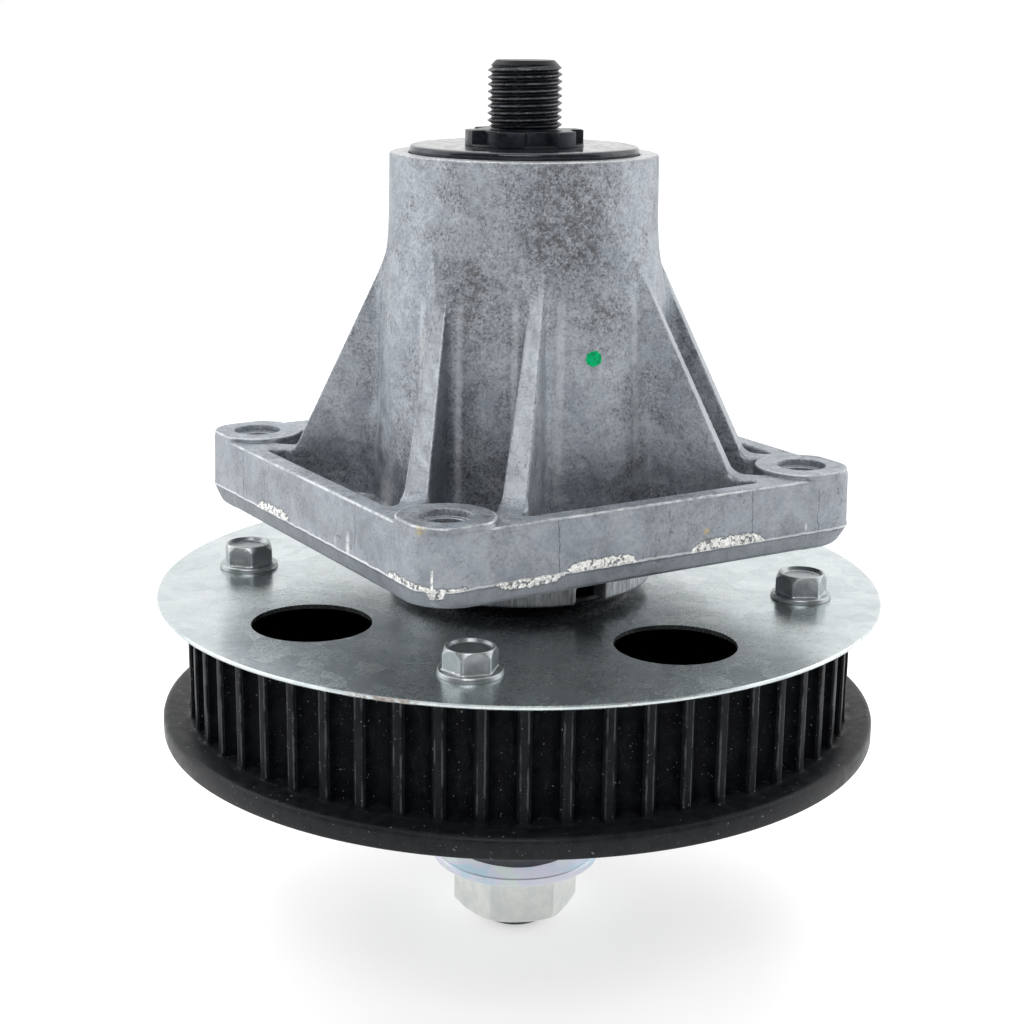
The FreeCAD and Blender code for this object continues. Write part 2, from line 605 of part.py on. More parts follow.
# round tooth spaces of 8 mm pitch
sk = new_sketch(pb, "groove_outline", z=g.drum_top)
R0, dp = g.drum_r.v, g.groove_depth.v
mouth, waist = g.groove_mouth.v, g.groove_waist.v
pA = V(R0 + 1.6, mouth + 0.55, 0)
pB = V(R0 - 0.12, mouth - 0.1, 0)
pC = V(R0 - 0.62, waist, 0)
pM = V(R0 - dp, 0, 0)
m = lambda p: V(p.x, -p.y, 0)
sk.addGeometry(Part.LineSegment(pA, pB), False)
sk.addGeometry(Part.LineSegment(pB, pC), False)
sk.addGeometry(Part.Arc(pC, pM, m(pC)), False)
sk.addGeometry(Part.LineSegment(m(pC), m(pB)), False)
sk.addGeometry(Part.LineSegment(m(pB), m(pA)), False)
sk.addGeometry(Part.LineSegment(m(pA), pA), False)
for i in range(6):
    sk.addConstraint(Sketcher.Constraint("Block", i))
gr = feature(pb, "Pocket", "tooth_space", sk, Length=g.drum_top - g.drum_bottom)
doc.recompute()
pattern(pb, "tooth_spaces", [gr], g.teeth.v)
vol = cut_check(pb, "tooth spaces", vol)
turn(pb, g.rotor_turn)
doc.recompute()

# ---------------------------------------------------------------- guard plate
gp = new_body("guard_plate")
revolve(gp, "plate_disc", [
    (g.plate_bore_r, g.drum_top), (g.plate_r - 0.25, g.drum_top), (g.plate_r, g.drum_top + 0.25),
    (g.plate_r, g.drum_top + g.plate_t - 0.25), (g.plate_r - 0.25, g.drum_top + g.plate_t), (g.plate_bore_r, g.drum_top + g.plate_t)])
vol = gp.Shape.Volume
sk = new_sketch(gp, "window_circle", z=g.drum_top + g.plate_t)
circle(sk, g.window_circle_r * c45, g.window_circle_r * c45, g.window_r)
p1 = feature(gp, "Pocket", "window", sk, Length=g.plate_t + 1.0)
doc.recompute()
sk = new_sketch(gp, "plate_screw_circle", z=g.drum_top + g.plate_t)
circle(sk, g.screw_circle_r, 0.0, g.plate_screw_r)
p2 = feature(gp, "Pocket", "plate_screw_hole", sk, Length=g.plate_t + 1.0)
doc.recompute()
pattern(gp, "plate_holes", [p1, p2], 4)
cut_check(gp, "plate holes", vol)
turn(gp, g.rotor_turn)
doc.recompute()

# ---------------------------------------------------------------- plate screws
seat = g.drum_top + g.plate_t
cone = doc.addObject("Part::Cone", "screw_flange")
cyl = doc.addObject("Part::Cylinder", "screw_shank")
hexa = doc.addObject("Part::Prism", "screw_hex")
dish = doc.addObject("Part::Cone", "screw_dish")
crown = doc.addObject("Part::Cone", "screw_crown")


def bind(o, key, q, scale=1.0):
    q = Q.of(q)
    o.setExpression(key, q.t)


bind(cone, "Radius1", g.head_flange_r)
bind(cone, "Radius2", g.head_flange_r - 0.7)
bind(cone, "Height", g.head_flange_t)
bind(cyl, "Radius", g.shank_r)
bind(cyl, "Height", g.shank_len + 1.5)
bind(cyl, ".Placement.Base.z", -g.shank_len)
hexa.Polygon = 6
bind(hexa, "Circumradius", g.head_af / math.sqrt(3.0))
bind(hexa, "Height", g.head_top - 0.5)
bind(hexa, ".Placement.Base.z", Q.of(0.5))
bind(dish, "Radius1", g.dish_r - 0.8)
bind(dish, "Radius2", g.dish_r + 0.25)
bind(dish, "Height", g.dish_deep + 0.25)
bind(dish, ".Placement.Base.z", g.head_top - g.dish_deep)
bind(crown, "Radius1", g.head_af / 2.0 + 4.4)
bind(crown, "Radius2", g.head_af / 2.0 - 0.15)
bind(crown, "Height", g.head_top - 0.5)
bind(crown, ".Placement.Base.z", Q.of(0.5))
doc.recompute()
hexc = doc.addObject("Part::Common", "screw_hex_chamfered")
hexc.Base, hexc.Tool = hexa, crown
head = doc.addObject("Part::MultiFuse", "screw_blank")
head.Shapes = [cone, cyl, hexc]
scr = doc.addObject("Part::Cut", "screw_master")
scr.Base, scr.Tool = head, dish
doc.recompute()
# four equal screws; each came to rest at its own turn
screws = []
for k, spin in enumerate((-46.4, 1.2, 17.0, 44.3)):
    az = g.rotor_turn.v + 90.0 * k
    pos = V(g.screw_circle_r.v * math.sin(math.radians(az)), -g.screw_circle_r.v * math.cos(math.radians(az)), seat.v)
    s = scr.Shape.copy()
    s.Placement = FreeCAD.Placement(pos, FreeCAD.Rotation(V(0, 0, 1), spin - 90.0))
    screws.append(s)
ps = doc.addObject("Part::Feature", "plate_screws")
ps.Label = "plate_screws"
ps.Shape = Part.makeCompound(screws)

# ---------------------------------------------------------------- flange nut
nb = new_body("flange_nut")
rc = g.nut_af / math.sqrt(3.0)
sk = new_sketch(nb, "nut_hexagon", z=g.nut_bottom)
polygon(sk, [(rc * math.cos(math.radians(60.0 * k)), rc * math.sin(math.radians(60.0 * k))) if k % 3 else (rc * (1.0 if k == 0 else -1.0), 0.0) for k in range(6)])
feature(nb, "Pad", "nut_hex", sk, Length=g.sleeve_bottom - g.nut_flange_t / 2.0 - g.nut_bottom)
doc.recompute()
revolve(nb, "nut_flange", [
    (0.0, g.sleeve_bottom - g.nut_flange_t - 0.8), (g.nut_af / 2.0 + 1.4, g.sleeve_bottom - g.nut_flange_t - 0.8),
    (g.nut_flange_r - 0.6, g.sleeve_bottom - g.nut_flange_t), (g.nut_flange_r, g.sleeve_bottom - g.nut_flange_t + 0.5),
    (g.nut_flange_r, g.sleeve_bottom - 0.5), (g.nut_flange_r - 0.5, g.sleeve_bottom), (0.0, g.sleeve_bottom)])
vol = nb.Shape.Volume
revolve(nb, "nut_bore", [
    (0.0, g.sleeve_bottom + 1.0), (g.nut_bore_r, g.sleeve_bottom + 1.0), (g.nut_bore_r, g.nut_bottom + 0.7),
    (g.nut_bore_r + 0.7, g.nut_bottom), (g.nut_bore_r + 0.7, g.nut_bottom - 1.0), (0.0, g.nut_bottom - 1.0)], kind="Groove")
vol = cut_check(nb, "nut bore", vol)
revolve(nb, "nut_chamfer", [
    (g.nut_af / 2.0 - 0.1, g.nut_bottom), (g.nut_af / 2.0 + 3.0, g.nut_bottom + 1.55), (g.nut_af / 2.0 + 3.0, g.nut_bottom - 1.0),
    (g.nut_af / 2.0 - 0.1, g.nut_bottom - 1.0)], kind="Groove")
cut_check(nb, "nut chamfer", vol)
turn(nb, g.nut_turn - 90.0)
doc.recompute()

# ---------------------------------------------------------------- check and write
NODES = ["housing_casting", "upper_bearing_outer_ring", "upper_bearing_inner_ring", "upper_bearing_cage",
         "upper_bearing_balls", "upper_bearing_top_seal", "upper_bearing_bottom_seal", "lower_bearing_outer_ring",
         "lower_bearing_inner_ring", "lower_bearing_cage", "lower_bearing_balls", "lower_bearing_top_seal",
         "lower_bearing_bottom_seal", "bearing_spacer", "spindle_shaft", "upper_dust_shield", "lower_dust_shield",
         "hub_sleeve", "toothed_pulley", "guard_plate", "plate_screws", "flange_nut"]
for o in doc.Objects:
    if "Invalid" in o.State or "Error" in o.State:
        raise RuntimeError("%s is in state %s" % (o.Name, o.State))
byname = {}
for o in doc.Objects:
    byname.setdefault(o.Label, o)
for n in NODES:
    shp = byname[n].Shape
    if shp.isNull() or not shp.isValid() or not shp.Solids:
        raise RuntimeError("%s has no valid solid" % n)
os.makedirs("parts", exist_ok=True)
for n in NODES:
    shp = byname[n].Shape
    shp.exportStep(os.path.join("parts", n + ".step"))
    bb = shp.BoundBox
    print("%-28s solids %2d  vol %10.1f  x %.1f..%.1f y %.1f..%.1f z %.2f..%.2f" % (
        n, len(shp.Solids), shp.Volume, bb.XMin, bb.XMax, bb.YMin, bb.YMax, bb.ZMin, bb.ZMax))
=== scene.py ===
# Mower deck spindle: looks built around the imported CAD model. Shapes are worked out in millimetres
# and scaled to metres at the end, in the CAD model's own frame.
import math
import bpy
import numpy as np
from mathutils import Matrix, Vector


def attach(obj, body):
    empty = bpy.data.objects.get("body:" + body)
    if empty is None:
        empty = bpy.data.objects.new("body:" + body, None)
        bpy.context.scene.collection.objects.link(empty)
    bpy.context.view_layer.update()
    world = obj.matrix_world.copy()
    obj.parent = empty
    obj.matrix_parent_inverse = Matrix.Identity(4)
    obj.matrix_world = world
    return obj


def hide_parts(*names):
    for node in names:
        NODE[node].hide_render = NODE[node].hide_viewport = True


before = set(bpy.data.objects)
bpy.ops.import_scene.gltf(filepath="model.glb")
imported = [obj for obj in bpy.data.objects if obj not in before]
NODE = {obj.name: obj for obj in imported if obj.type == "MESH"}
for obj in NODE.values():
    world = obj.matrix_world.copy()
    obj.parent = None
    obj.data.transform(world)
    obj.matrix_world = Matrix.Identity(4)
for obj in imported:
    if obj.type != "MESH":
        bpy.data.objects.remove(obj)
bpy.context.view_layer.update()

SC = bpy.context.scene
MM = 0.001
RNG = np.random.default_rng(7)


# ------------------------------------------------------------------ shape tools
def imax(a, b, r):
    """Intersection with a rounded outer edge of radius r."""
    return np.minimum(-r, np.maximum(a, b)) + np.sqrt(np.maximum(a + r, 0) ** 2 + np.maximum(b + r, 0) ** 2)


def umin(a, b, r):
    """Union with a rounded inner corner of radius r."""
    return np.maximum(r, np.minimum(a, b)) - np.sqrt(np.maximum(r - a, 0) ** 2 + np.maximum(r - b, 0) ** 2)


def cutr(a, b, r):
    """a with b taken away, the edge rounded by r."""
    return imax(a, -b, r)


def net(sdf, lo, hi, h):
    """Closed surface of a distance function by surface nets, then pulled onto the function's zero."""
    n = [int(math.ceil((hi[i] - lo[i]) / h)) + 2 for i in range(3)]
    ax = [lo[i] - 0.5 * h + h * np.arange(n[i]) for i in range(3)]
    F = np.asarray(sdf(ax[0][:, None, None], ax[1][None, :, None], ax[2][None, None, :]), np.float32)
    F = np.broadcast_to(F, n).copy()
    S = F < 0
    cs = [k - 1 for k in n]
    cnt = np.zeros(cs, np.float32)
    acc = [np.zeros(cs, np.float32) for _ in range(3)]
    quads = []
    for d in range(3):
        a = [slice(None)] * 3
        b = [slice(None)] * 3
        a[d] = slice(0, -1)
        b[d] = slice(1, None)
        F0, F1 = F[tuple(a)], F[tuple(b)]
        E = S[tuple(a)] != S[tuple(b)]
        T = np.where(E, F0 / np.where(E, F0 - F1, 1.0), 0.0).astype(np.float32)
        e1, e2 = [k for k in range(3) if k != d]
        for o1 in (0, 1):
            for o2 in (0, 1):
                s = [slice(None)] * 3
                s[e1] = slice(o1, o1 + cs[e1])
                s[e2] = slice(o2, o2 + cs[e2])
                s = tuple(s)
                Es = E[s]
                cnt += Es
                acc[d] += T[s]
                acc[e1] += Es * np.float32(o1)
                acc[e2] += Es * np.float32(o2)
        s = [slice(None)] * 3
        s[e1] = slice(1, -1)
        s[e2] = slice(1, -1)
        I = np.array(np.nonzero(E[tuple(s)]))
        I[e1] += 1
        I[e2] += 1
        inside0 = S[tuple(a)][tuple(I)]
        c = []
        for o1, o2 in ((1, 1), (0, 1), (0, 0), (1, 0)):
            J = I.copy()
            J[e1] -= o1
            J[e2] -= o2
            c.append((J[0] * cs[1] + J[1]) * cs[2] + J[2])
        q = np.stack(c, 1)
        flip = inside0 if d != 1 else ~inside0
        q[~flip] = q[~flip][:, ::-1]
        quads.append(q)
    used = cnt > 0
    idx = -np.ones(cs, np.int64).ravel()
    idx[used.ravel()] = np.arange(int(used.sum()))
    U = np.array(np.nonzero(used))
    P = np.stack([ax[i][0] + h * (U[i] + acc[i][used] / cnt[used]) for i in range(3)], 1).astype(np.float64)
    Q = idx[np.concatenate(quads)]
    for _ in range(3):
        f, g = value_and_slope(sdf, P, 0.02)
        step = -f / np.maximum((g ** 2).sum(1), 0.2)
        step = np.clip(step, -0.4 * h, 0.4 * h)
        P = P + g * step[:, None]
    return P, Q


def value_and_slope(sdf, P, e):
    f = sdf(P[:, 0], P[:, 1], P[:, 2])
    g = np.stack([(sdf(P[:, 0] + e * (i == 0), P[:, 1] + e * (i == 1), P[:, 2] + e * (i == 2))
                   - sdf(P[:, 0] - e * (i == 0), P[:, 1] - e * (i == 1), P[:, 2] - e * (i == 2))) / (2 * e) for i in range(3)], 1)
    return f, g


def mesh_object(name, P, Q, smooth=True):
    me = bpy.data.meshes.new(name)
    P = np.asarray(P, np.float64) * MM
    Q = [np.asarray(q) for q in (Q if isinstance(Q, list) else [Q])]
    loops = np.concatenate([q.ravel() for q in Q]).astype(np.int32)
    sizes = np.concatenate([np.full(len(q), q.shape[1], np.int32) for q in Q])
    starts = np.concatenate([[0], np.cumsum(sizes)[:-1]]).astype(np.int32)
    me.vertices.add(len(P))
    me.vertices.foreach_set("co", P.astype(np.float32).ravel())
    me.loops.add(len(loops))
    me.loops.foreach_set("vertex_index", loops)
    me.polygons.add(len(sizes))
    me.polygons.foreach_set("loop_start", starts)
    me.update(calc_edges=True)
    me.validate()
    me.polygons.foreach_set("use_smooth", np.full(len(me.polygons), smooth))
    o = bpy.data.objects.new(name, me)
    SC.collection.objects.link(o)
    return o


def by_angle(o, deg):
    """Smooth shading that keeps edges sharper than deg."""
    me = o.data
    with bpy.context.temp_override(active_object=o, object=o, selected_objects=[o], selected_editable_objects=[o]):
        bpy.ops.object.shade_smooth_by_angle(angle=math.radians(deg))
    return me


def thin_out(o, faces):
    """Fewer triangles, flat parts first."""
    tri = sum(len(p.vertices) - 2 for p in o.data.polygons)
    if tri > faces:
        m = o.modifiers.new("fewer", "DECIMATE")
        m.ratio = faces / tri
        bake(o)


def bake(o):
    dg = bpy.context.evaluated_depsgraph_get()
    me = bpy.data.meshes.new_from_object(o.evaluated_get(dg))
    o.modifiers.clear()
    old = o.data
    o.data = me
    bpy.data.meshes.remove(old)


def set_normals(o, sdf, e):
    me = o.data
    co = np.zeros(len(me.vertices) * 3, np.float32)
    me.vertices.foreach_get("co", co)
    P = co.reshape(-1, 3).astype(np.float64) / MM
    _, g = value_and_slope(sdf, P, e)
    g /= np.maximum(np.linalg.norm(g, axis=1), 1e-6)[:, None]
    me.polygons.foreach_set("use_smooth", np.full(len(me.polygons), True))
    me.normals_split_custom_set_from_vertices(g.astype(np.float32))


def rings(rows, n, closed_top=True, closed_bottom=True, base=0):
    """Rows of (z, radius or radii) round the Z axis, lowest first, as points and faces."""
    th = 2 * np.pi * np.arange(n) / n
    P, quads, tris = [], [], []
    for z, r in rows:
        r = np.broadcast_to(r, n)
        zz = np.broadcast_to(z, n)
        P.append(np.stack([r * np.cos(th), r * np.sin(th), zz], 1))
    P = np.concatenate(P)
    k = np.arange(n)
    k2 = (k + 1) % n
    for i in range(len(rows) - 1):
        a, b = i * n, (i + 1) * n
        quads.append(np.stack([a + k, a + k2, b + k2, b + k], 1))
    if closed_bottom:
        P = np.vstack([P, [[0, 0, float(np.mean(rows[0][0]))]]])
        tris.append(np.stack([k2, k, np.full(n, len(P) - 1)], 1))
    if closed_top:
        P = np.vstack([P, [[0, 0, float(np.mean(rows[-1][0]))]]])
        t = (len(rows) - 1) * n
        tris.append(np.stack([t + k, t + k2, np.full(n, len(P) - 1)], 1))
    quads = np.concatenate(quads) + base
    tris = (np.concatenate(tris) + base) if tris else np.zeros((0, 3), int)
    return P, quads, tris


def join(parts):
    """Points and faces of several pieces put together."""
    P, Q, T, n = [], [], [], 0
    for p in parts:
        P.append(p[0])
        Q.append(np.asarray(p[1], int).reshape(-1, 4) + n)
        T.append(np.asarray(p[2], int).reshape(-1, 3) + n)
        n += len(p[0])
    return np.concatenate(P), [a for a in (np.concatenate(Q), np.concatenate(T)) if len(a)]


# ------------------------------------------------------------------ housing casting
C2 = math.sqrt(0.5)
FLANGE_Z = np.array([-1.0, 0.0, 3.2, 3.6, 4.0, 14.5, 20.0])
FLANGE_H = np.array([49.6, 49.85, 50.45, 50.65, 50.42, 50.22, 50.22])
FLANGE_C = np.array([9.6, 9.4, 6.6, 6.3, 6.2, 6.2, 6.2])
BARREL_Z = np.array([-20.0, 7.0, 46.0, 49.5, 52.5, 55.5, 58.0, 61.0, 65.0, 70.0, 76.8, 80.0])
BARREL_R = np.array([31.3, 30.9, 29.5, 29.3, 28.85, 28.35, 27.95, 27.7, 27.54, 27.46, 27.38, 27.38])


def housing(x, y, z):
    ax, ay = np.abs(x), np.abs(y)
    u = (ax + ay) * C2
    v = np.abs(ax - ay) * C2
    r = np.sqrt(x * x + y * y)
    H = np.interp(z, FLANGE_Z, FLANGE_H)
    rc = np.interp(z, FLANGE_Z, FLANGE_C)
    qx, qy = ax - (H - rc), ay - (H - rc)
    out = np.sqrt(np.maximum(qx, 0) ** 2 + np.maximum(qy, 0) ** 2) + np.minimum(np.maximum(qx, qy), 0) - rc
    drop = 14.5 - z
    slab = imax(out, z - 14.5, 0.6)
    slab = imax(slab, -z, 0.8)
    dp = np.sqrt((u - 59.0) ** 2 + v * v)
    # trays and corner pockets, with draft on their walls
    edge = np.maximum(ax, ay) - (46.2 - 0.035 * drop)
    tuck = 1.6 * (1.0 - np.clip((u - 42.5) / 4.0, 0.0, 1.0))
    tray = imax(edge, 12.15 + 0.03 * drop - tuck - v, 2.8)
    tray = imax(tray, 5.0 - z, 1.3)
    slot = imax(v - (7.1 - 0.02 * drop + tuck), 9.4 + 0.02 * drop - dp, 1.2)
    slot = imax(slot, 5.0 - z, 1.5)
    slot = np.maximum(slot, u - 58.0)
    slab = cutr(slab, tray, 0.45)
    slab = cutr(slab, slot, 0.45)
    # barrel and ribs
    R = np.interp(z, BARREL_Z, BARREL_R)
    barrel = imax(r - R, z - 76.8, 0.55)
    barrel = np.maximum(barrel, -z - 1.0)
    half = 2.48 - 0.0264 * (np.maximum(z, 14.5) - 14.5)
    rib = np.abs(v - 9.62) - half
    rib = imax(rib, (u - (46.2 - 0.4812 * (z - 14.5))) * 0.901, 0.38)
    rib = np.maximum(rib, 2.0 - z)
    # the blend is fuller in the channel between the two ribs of a pair
    face = (u - (46.2 - 0.4812 * (z - 14.5))) * 0.901
    side = np.clip((np.abs(v - 9.62) - half - face + 0.6) / 1.6, 0.0, 1.0)
    body = umin(barrel, rib, 0.7 + side * (1.3 + 0.9 * np.clip((10.4 - v) / 1.6, 0.0, 1.0)))
    body = umin(body, slab, 1.8)
    # screw pads
    pad = imax(dp - 9.5, z - 15.5, 0.4)
    pad = imax(pad, out, 0.5)
    pad = imax(pad, -z, 0.9)
    body = umin(body, pad, 0.5)
    boss = imax(r - 28.0, -11.5 - z, 0.45)
    boss = np.maximum(boss, z - 2.0)
    body = umin(body, boss, 0.5)
    # machined bores, cored holes and pry notches
    bore = np.minimum(r - 20.5, np.minimum(np.maximum(r - 23.6, 60.4 - z), np.maximum(r - 23.52, z - 4.5)))
    bore = np.minimum(bore, np.maximum(r - 24.9, 74.5 - z))
    body = cutr(body, bore, 0.2)
    body = cutr(body, dp - 6.2, 0.1)
    notch = np.maximum(np.maximum(ax - 3.5, 22.0 - ay), z + 8.0)
    body = cutr(body, notch, 0.3)
    return body


hp, hq = net(housing, (-51.2, -51.2, -12.2), (51.2, 51.2, 77.6), 0.5)
house = mesh_object("housing_casting_cast", hp, hq)
thin_out(house, 176000)
set_normals(house, housing, 0.10)
# true rings for the screw holes and for the barrel's machined mouth, joined to the casting
extra = []
for sx in (-1, 1):
    for sy in (-1, 1):
        hole_rows = [(0.04, 6.9), (-0.02, 6.6), (-0.02, 3.9), (0.12, 3.66), (13.9, 3.66), (14.06, 3.86), (14.06, 4.72), (14.2, 4.88),
                     (15.2, 4.92), (15.42, 5.02), (15.52, 5.3), (15.52, 6.6), (15.46, 6.95)]
        ep, eq, et = rings(hole_rows, 72, False, False)
        extra.append((ep + np.array([sx * 41.72, sy * 41.72, 0.0]), eq, et))
mouth_rows = [(74.0, 23.52), (76.35, 23.52), (76.68, 23.66), (76.83, 23.95), (76.83, 25.3), (76.76, 25.6)]
extra.append(rings(mouth_rows, 192, False, False))
xp, xq = join(extra)
ring_ob = mesh_object("housing_rings", xp, xq)
by_angle(ring_ob, 30)
with bpy.context.temp_override(active_object=house, object=house, selected_objects=[house, ring_ob], selected_editable_objects=[house, ring_ob]):
    bpy.ops.object.join()


# ------------------------------------------------------------------ shaft with threads and star drive
PITCH = 25.4 / 18.0
NS = 160
TH = 2 * np.pi * np.arange(NS) / NS


def thread(z, crest=7.55, core=6.74):
    ph = (z / PITCH - TH / (2 * np.pi)) % 1.0
    t = np.abs(ph - 0.5) * 2
    p = 1 - np.clip((t - 0.13) / (0.84 - 0.13), 0, 1)
    p = p * p * (3 - 2 * p) * 0.35 + p * 0.65
    return core + (crest - core) * p


star_a = (np.degrees(TH) - 45.0 + 30.0) % 60.0 - 30.0
lobe = np.clip((16.6 - np.abs(star_a)) / 3.4, 0, 1)
lobe = lobe * lobe * (3 - 2 * lobe)
STAR = 9.65 + (12.05 - 9.65) * lobe
FLATS = np.minimum(8.0, 6.8 / np.maximum(np.abs(np.cos(TH - math.pi / 4)), 1e-3))
rows = [(-92.0, 0.01), (-92.0, 3.0), (-92.0, 6.6), (-91.85, 6.85)]
for z in np.arange(-91.7, -86.4, PITCH / 13):
    cham = 6.85 + max(0.0, (z + 91.85)) * 1.1
    rows.append((z, np.minimum(thread(z), cham)))
rows += [(-86.3, 7.55), (-70.0, 7.55), (-70.0, FLATS), (-9.1, FLATS), (-9.1, 9.98), (78.25, 9.98), (78.25, 11.9), (78.33, 12.05),
         (78.7, 12.05), (78.7, STAR + 0.02), (78.72, STAR), (81.15, STAR), (81.3, STAR - 0.07), (81.37, STAR - 0.2), (81.4, STAR - 0.36),
         (81.4, 7.3), (81.46, 6.95), (81.7, 6.8)]
for z in np.arange(81.85, 95.04, PITCH / 15):
    top = 5.9 + max(0.0, (95.1 - z)) * 0.98
    low = 6.8 + max(0.0, (z - 81.8)) * 1.6
    rows.append((z, np.minimum(np.minimum(thread(z), top), low)))
rows += [(95.06, 5.86), (95.1, 5.7), (95.1, 5.2), (95.08, 5.0), (95.1, 4.8), (95.1, 0.01)]
sp, sq, st = rings(rows, NS)
shaft = mesh_object("spindle_shaft_turned", sp, [sq, st])
by_angle(shaft, 38)


# ------------------------------------------------------------------ dust shields
def dish_rows(top, sgn):
    prof = [(top - sgn * 3.85, 10.06), (top - sgn * 3.85, 13.5), (top - sgn * 1.85, 13.5), (top - sgn * 1.85, 22.85), (top - sgn * 1.72, 23.17),
            (top - sgn * 1.4, 23.35), (top - sgn * 0.62, 23.35), (top - sgn * 0.32, 23.26), (top - sgn * 0.1, 23.02), (top, 22.6),
            (top, 20.2), (top, 14.0), (top, 12.6), (top, 10.06), (top - sgn * 3.85, 10.06)]
    return prof if sgn > 0 else prof[::-1]


up, uq, ut = rings(dish_rows(78.25, 1), 192, False, False)
shield_up = mesh_object("upper_dust_shield_pressed", up, [uq])
by_angle(shield_up, 40)


# ------------------------------------------------------------------ plate screws
def screw(x, y, z):
    r = np.sqrt(x * x + y * y)
    hexd = np.maximum(np.abs(x * math.cos(math.pi / 6) + y * 0.5), np.maximum(np.abs(y), np.abs(x * math.cos(math.pi / 6) - y * 0.5))) - 4.775
    hexd = imax(hexd, r - 5.40, 0.12)
    hexd = imax(hexd, (r - 4.70 + (z - 5.45) * 0.52) * 0.887, 0.10)
    hexd = imax(hexd, z - 5.45, 0.10)
    fl = imax(r - (6.38 - 0.25 * z), z - 1.05, 0.35)
    d = umin(hexd, fl, 0.55)
    d = imax(d, -z, 0.15)
    dish = imax((r - 4.38 - (z - 5.45) * 0.55) * 0.876, 4.55 - z, 0.25)
    d = cutr(d, dish, 0.10)
    stem = np.maximum(r - 2.6, np.maximum(z - 0.8, -14.0 - z))
    return umin(d, stem, 0.1)


kp, kq = net(screw, (-6.7, -6.7, -14.2), (6.7, 6.7, 5.6), 0.2)
one = []
for k, spin in enumerate((-46.4, 1.2, 17.0, 44.3)):
    az = math.radians(-40.26 + 90 * k)
    a = math.radians(spin - 90.0)
    Rm = np.array([[math.cos(a), -math.sin(a), 0], [math.sin(a), math.cos(a), 0], [0, 0, 1]])
    one.append((kp @ Rm.T + np.array([60 * math.sin(az), -60 * math.cos(az), -14.2]), kq, np.zeros((0, 3))))
jp, jq = join(one)
screws = mesh_object("plate_screws_formed", jp, jq)


def four_screws(x, y, z):
    best = None
    for k, spin in enumerate((-46.4, 1.2, 17.0, 44.3)):
        az = math.radians(-40.26 + 90 * k)
        a = math.radians(spin - 90.0)
        dx, dy = x - 60 * math.sin(az), y + 60 * math.cos(az)
        d = screw(dx * math.cos(a) + dy * math.sin(a), -dx * math.sin(a) + dy * math.cos(a), z + 14.2)
        best = d if best is None else np.minimum(best, d)
    return best


set_normals(screws, four_screws, 0.04)


# ------------------------------------------------------------------ flange nut
def nut(x, y, z):
    r = np.sqrt(x * x + y * y)
    a = math.radians(5.2 - 90.0)
    X, Y = x * math.cos(a) + y * math.sin(a), -x * math.sin(a) + y * math.cos(a)
    c = math.cos(math.pi / 6)
    hexd = np.maximum(np.abs(X * c + Y * 0.5), np.maximum(np.abs(Y), np.abs(X * c - Y * 0.5))) - 11.905
    hexd = imax(hexd, (r - 11.9 - (z + 88.9) * 1.73) * 0.5, 0.25)
    hexd = imax(hexd, -88.9 - z, 0.35)
    hexd = np.maximum(hexd, z + 75.6)
    fl = imax(r - 18.4, z + 75.2, 0.55)
    fl = imax(fl, (-77.3 - (18.4 - r) * 0.20 - z) * 0.98, 0.7)
    d = umin(hexd, fl, 0.9)
    bore = r - (7.6 + np.maximum(0, -88.2 - z) * 1.0)
    return cutr(d, bore, 0.15)


np_, nq = net(nut, (-18.8, -18.8, -89.3), (18.8, 18.8, -74.9), 0.34)
nutob = mesh_object("flange_nut_forged", np_, nq)
set_normals(nutob, nut, 0.06)


# ------------------------------------------------------------------ toothed pulley
TEETH = 56
DRUM, TOPZ, BOTZ, FLZ = 70.61, -15.1, -39.7, -44.2


def tooth_outline(grow=0.0):
    """One pitch of the drum's edge as (angle, radius) pairs; the groove's centre is at angle 0."""
    rg, cg = 2.62 - grow, 69.85
    pts = []
    half = math.pi / TEETH
    # half of the groove, from its middle outwards
    for k in range(9):
        a = math.pi - (math.pi / 2 + 0.12) * k / 8
        px, py = cg + rg * math.cos(a), rg * math.sin(a)
        pts.append((math.atan2(py, px), math.hypot(px, py)))
    # rounded corner onto the land
    for k in range(6):
        t = k / 5 * math.pi / 2
        w = 0.60 + 0.36 * math.cos(t)
        pts.append((half - w / 70.4, DRUM - 0.36 + 0.36 * math.sin(t)))
    pts.append((half, DRUM))
    left = [(-a, r) for a, r in pts[1:-1]][::-1]
    return left + pts


outline = tooth_outline()
ang0 = math.radians(-40.26)
OA = np.concatenate([np.array([p[0] for p in outline]) + 2 * math.pi / TEETH * k for k in range(TEETH)]) + ang0
ORR = np.tile(np.array([p[1] for p in outline]), TEETH)
NP_ = len(OA)


def ring_row(z, r):
    r = np.broadcast_to(r, NP_)
    return np.stack([r * np.cos(OA), r * np.sin(OA), np.full(NP_, z)], 1)


def skin(rowlist):
    P = np.concatenate(rowlist)
    k = np.arange(NP_)
    k2 = (k + 1) % NP_
    Q = [np.stack([i * NP_ + k, i * NP_ + k2, (i + 1) * NP_ + k2, (i + 1) * NP_ + k], 1) for i in range(len(rowlist) - 1)]
    return P, np.concatenate(Q), np.zeros((0, 3), int)


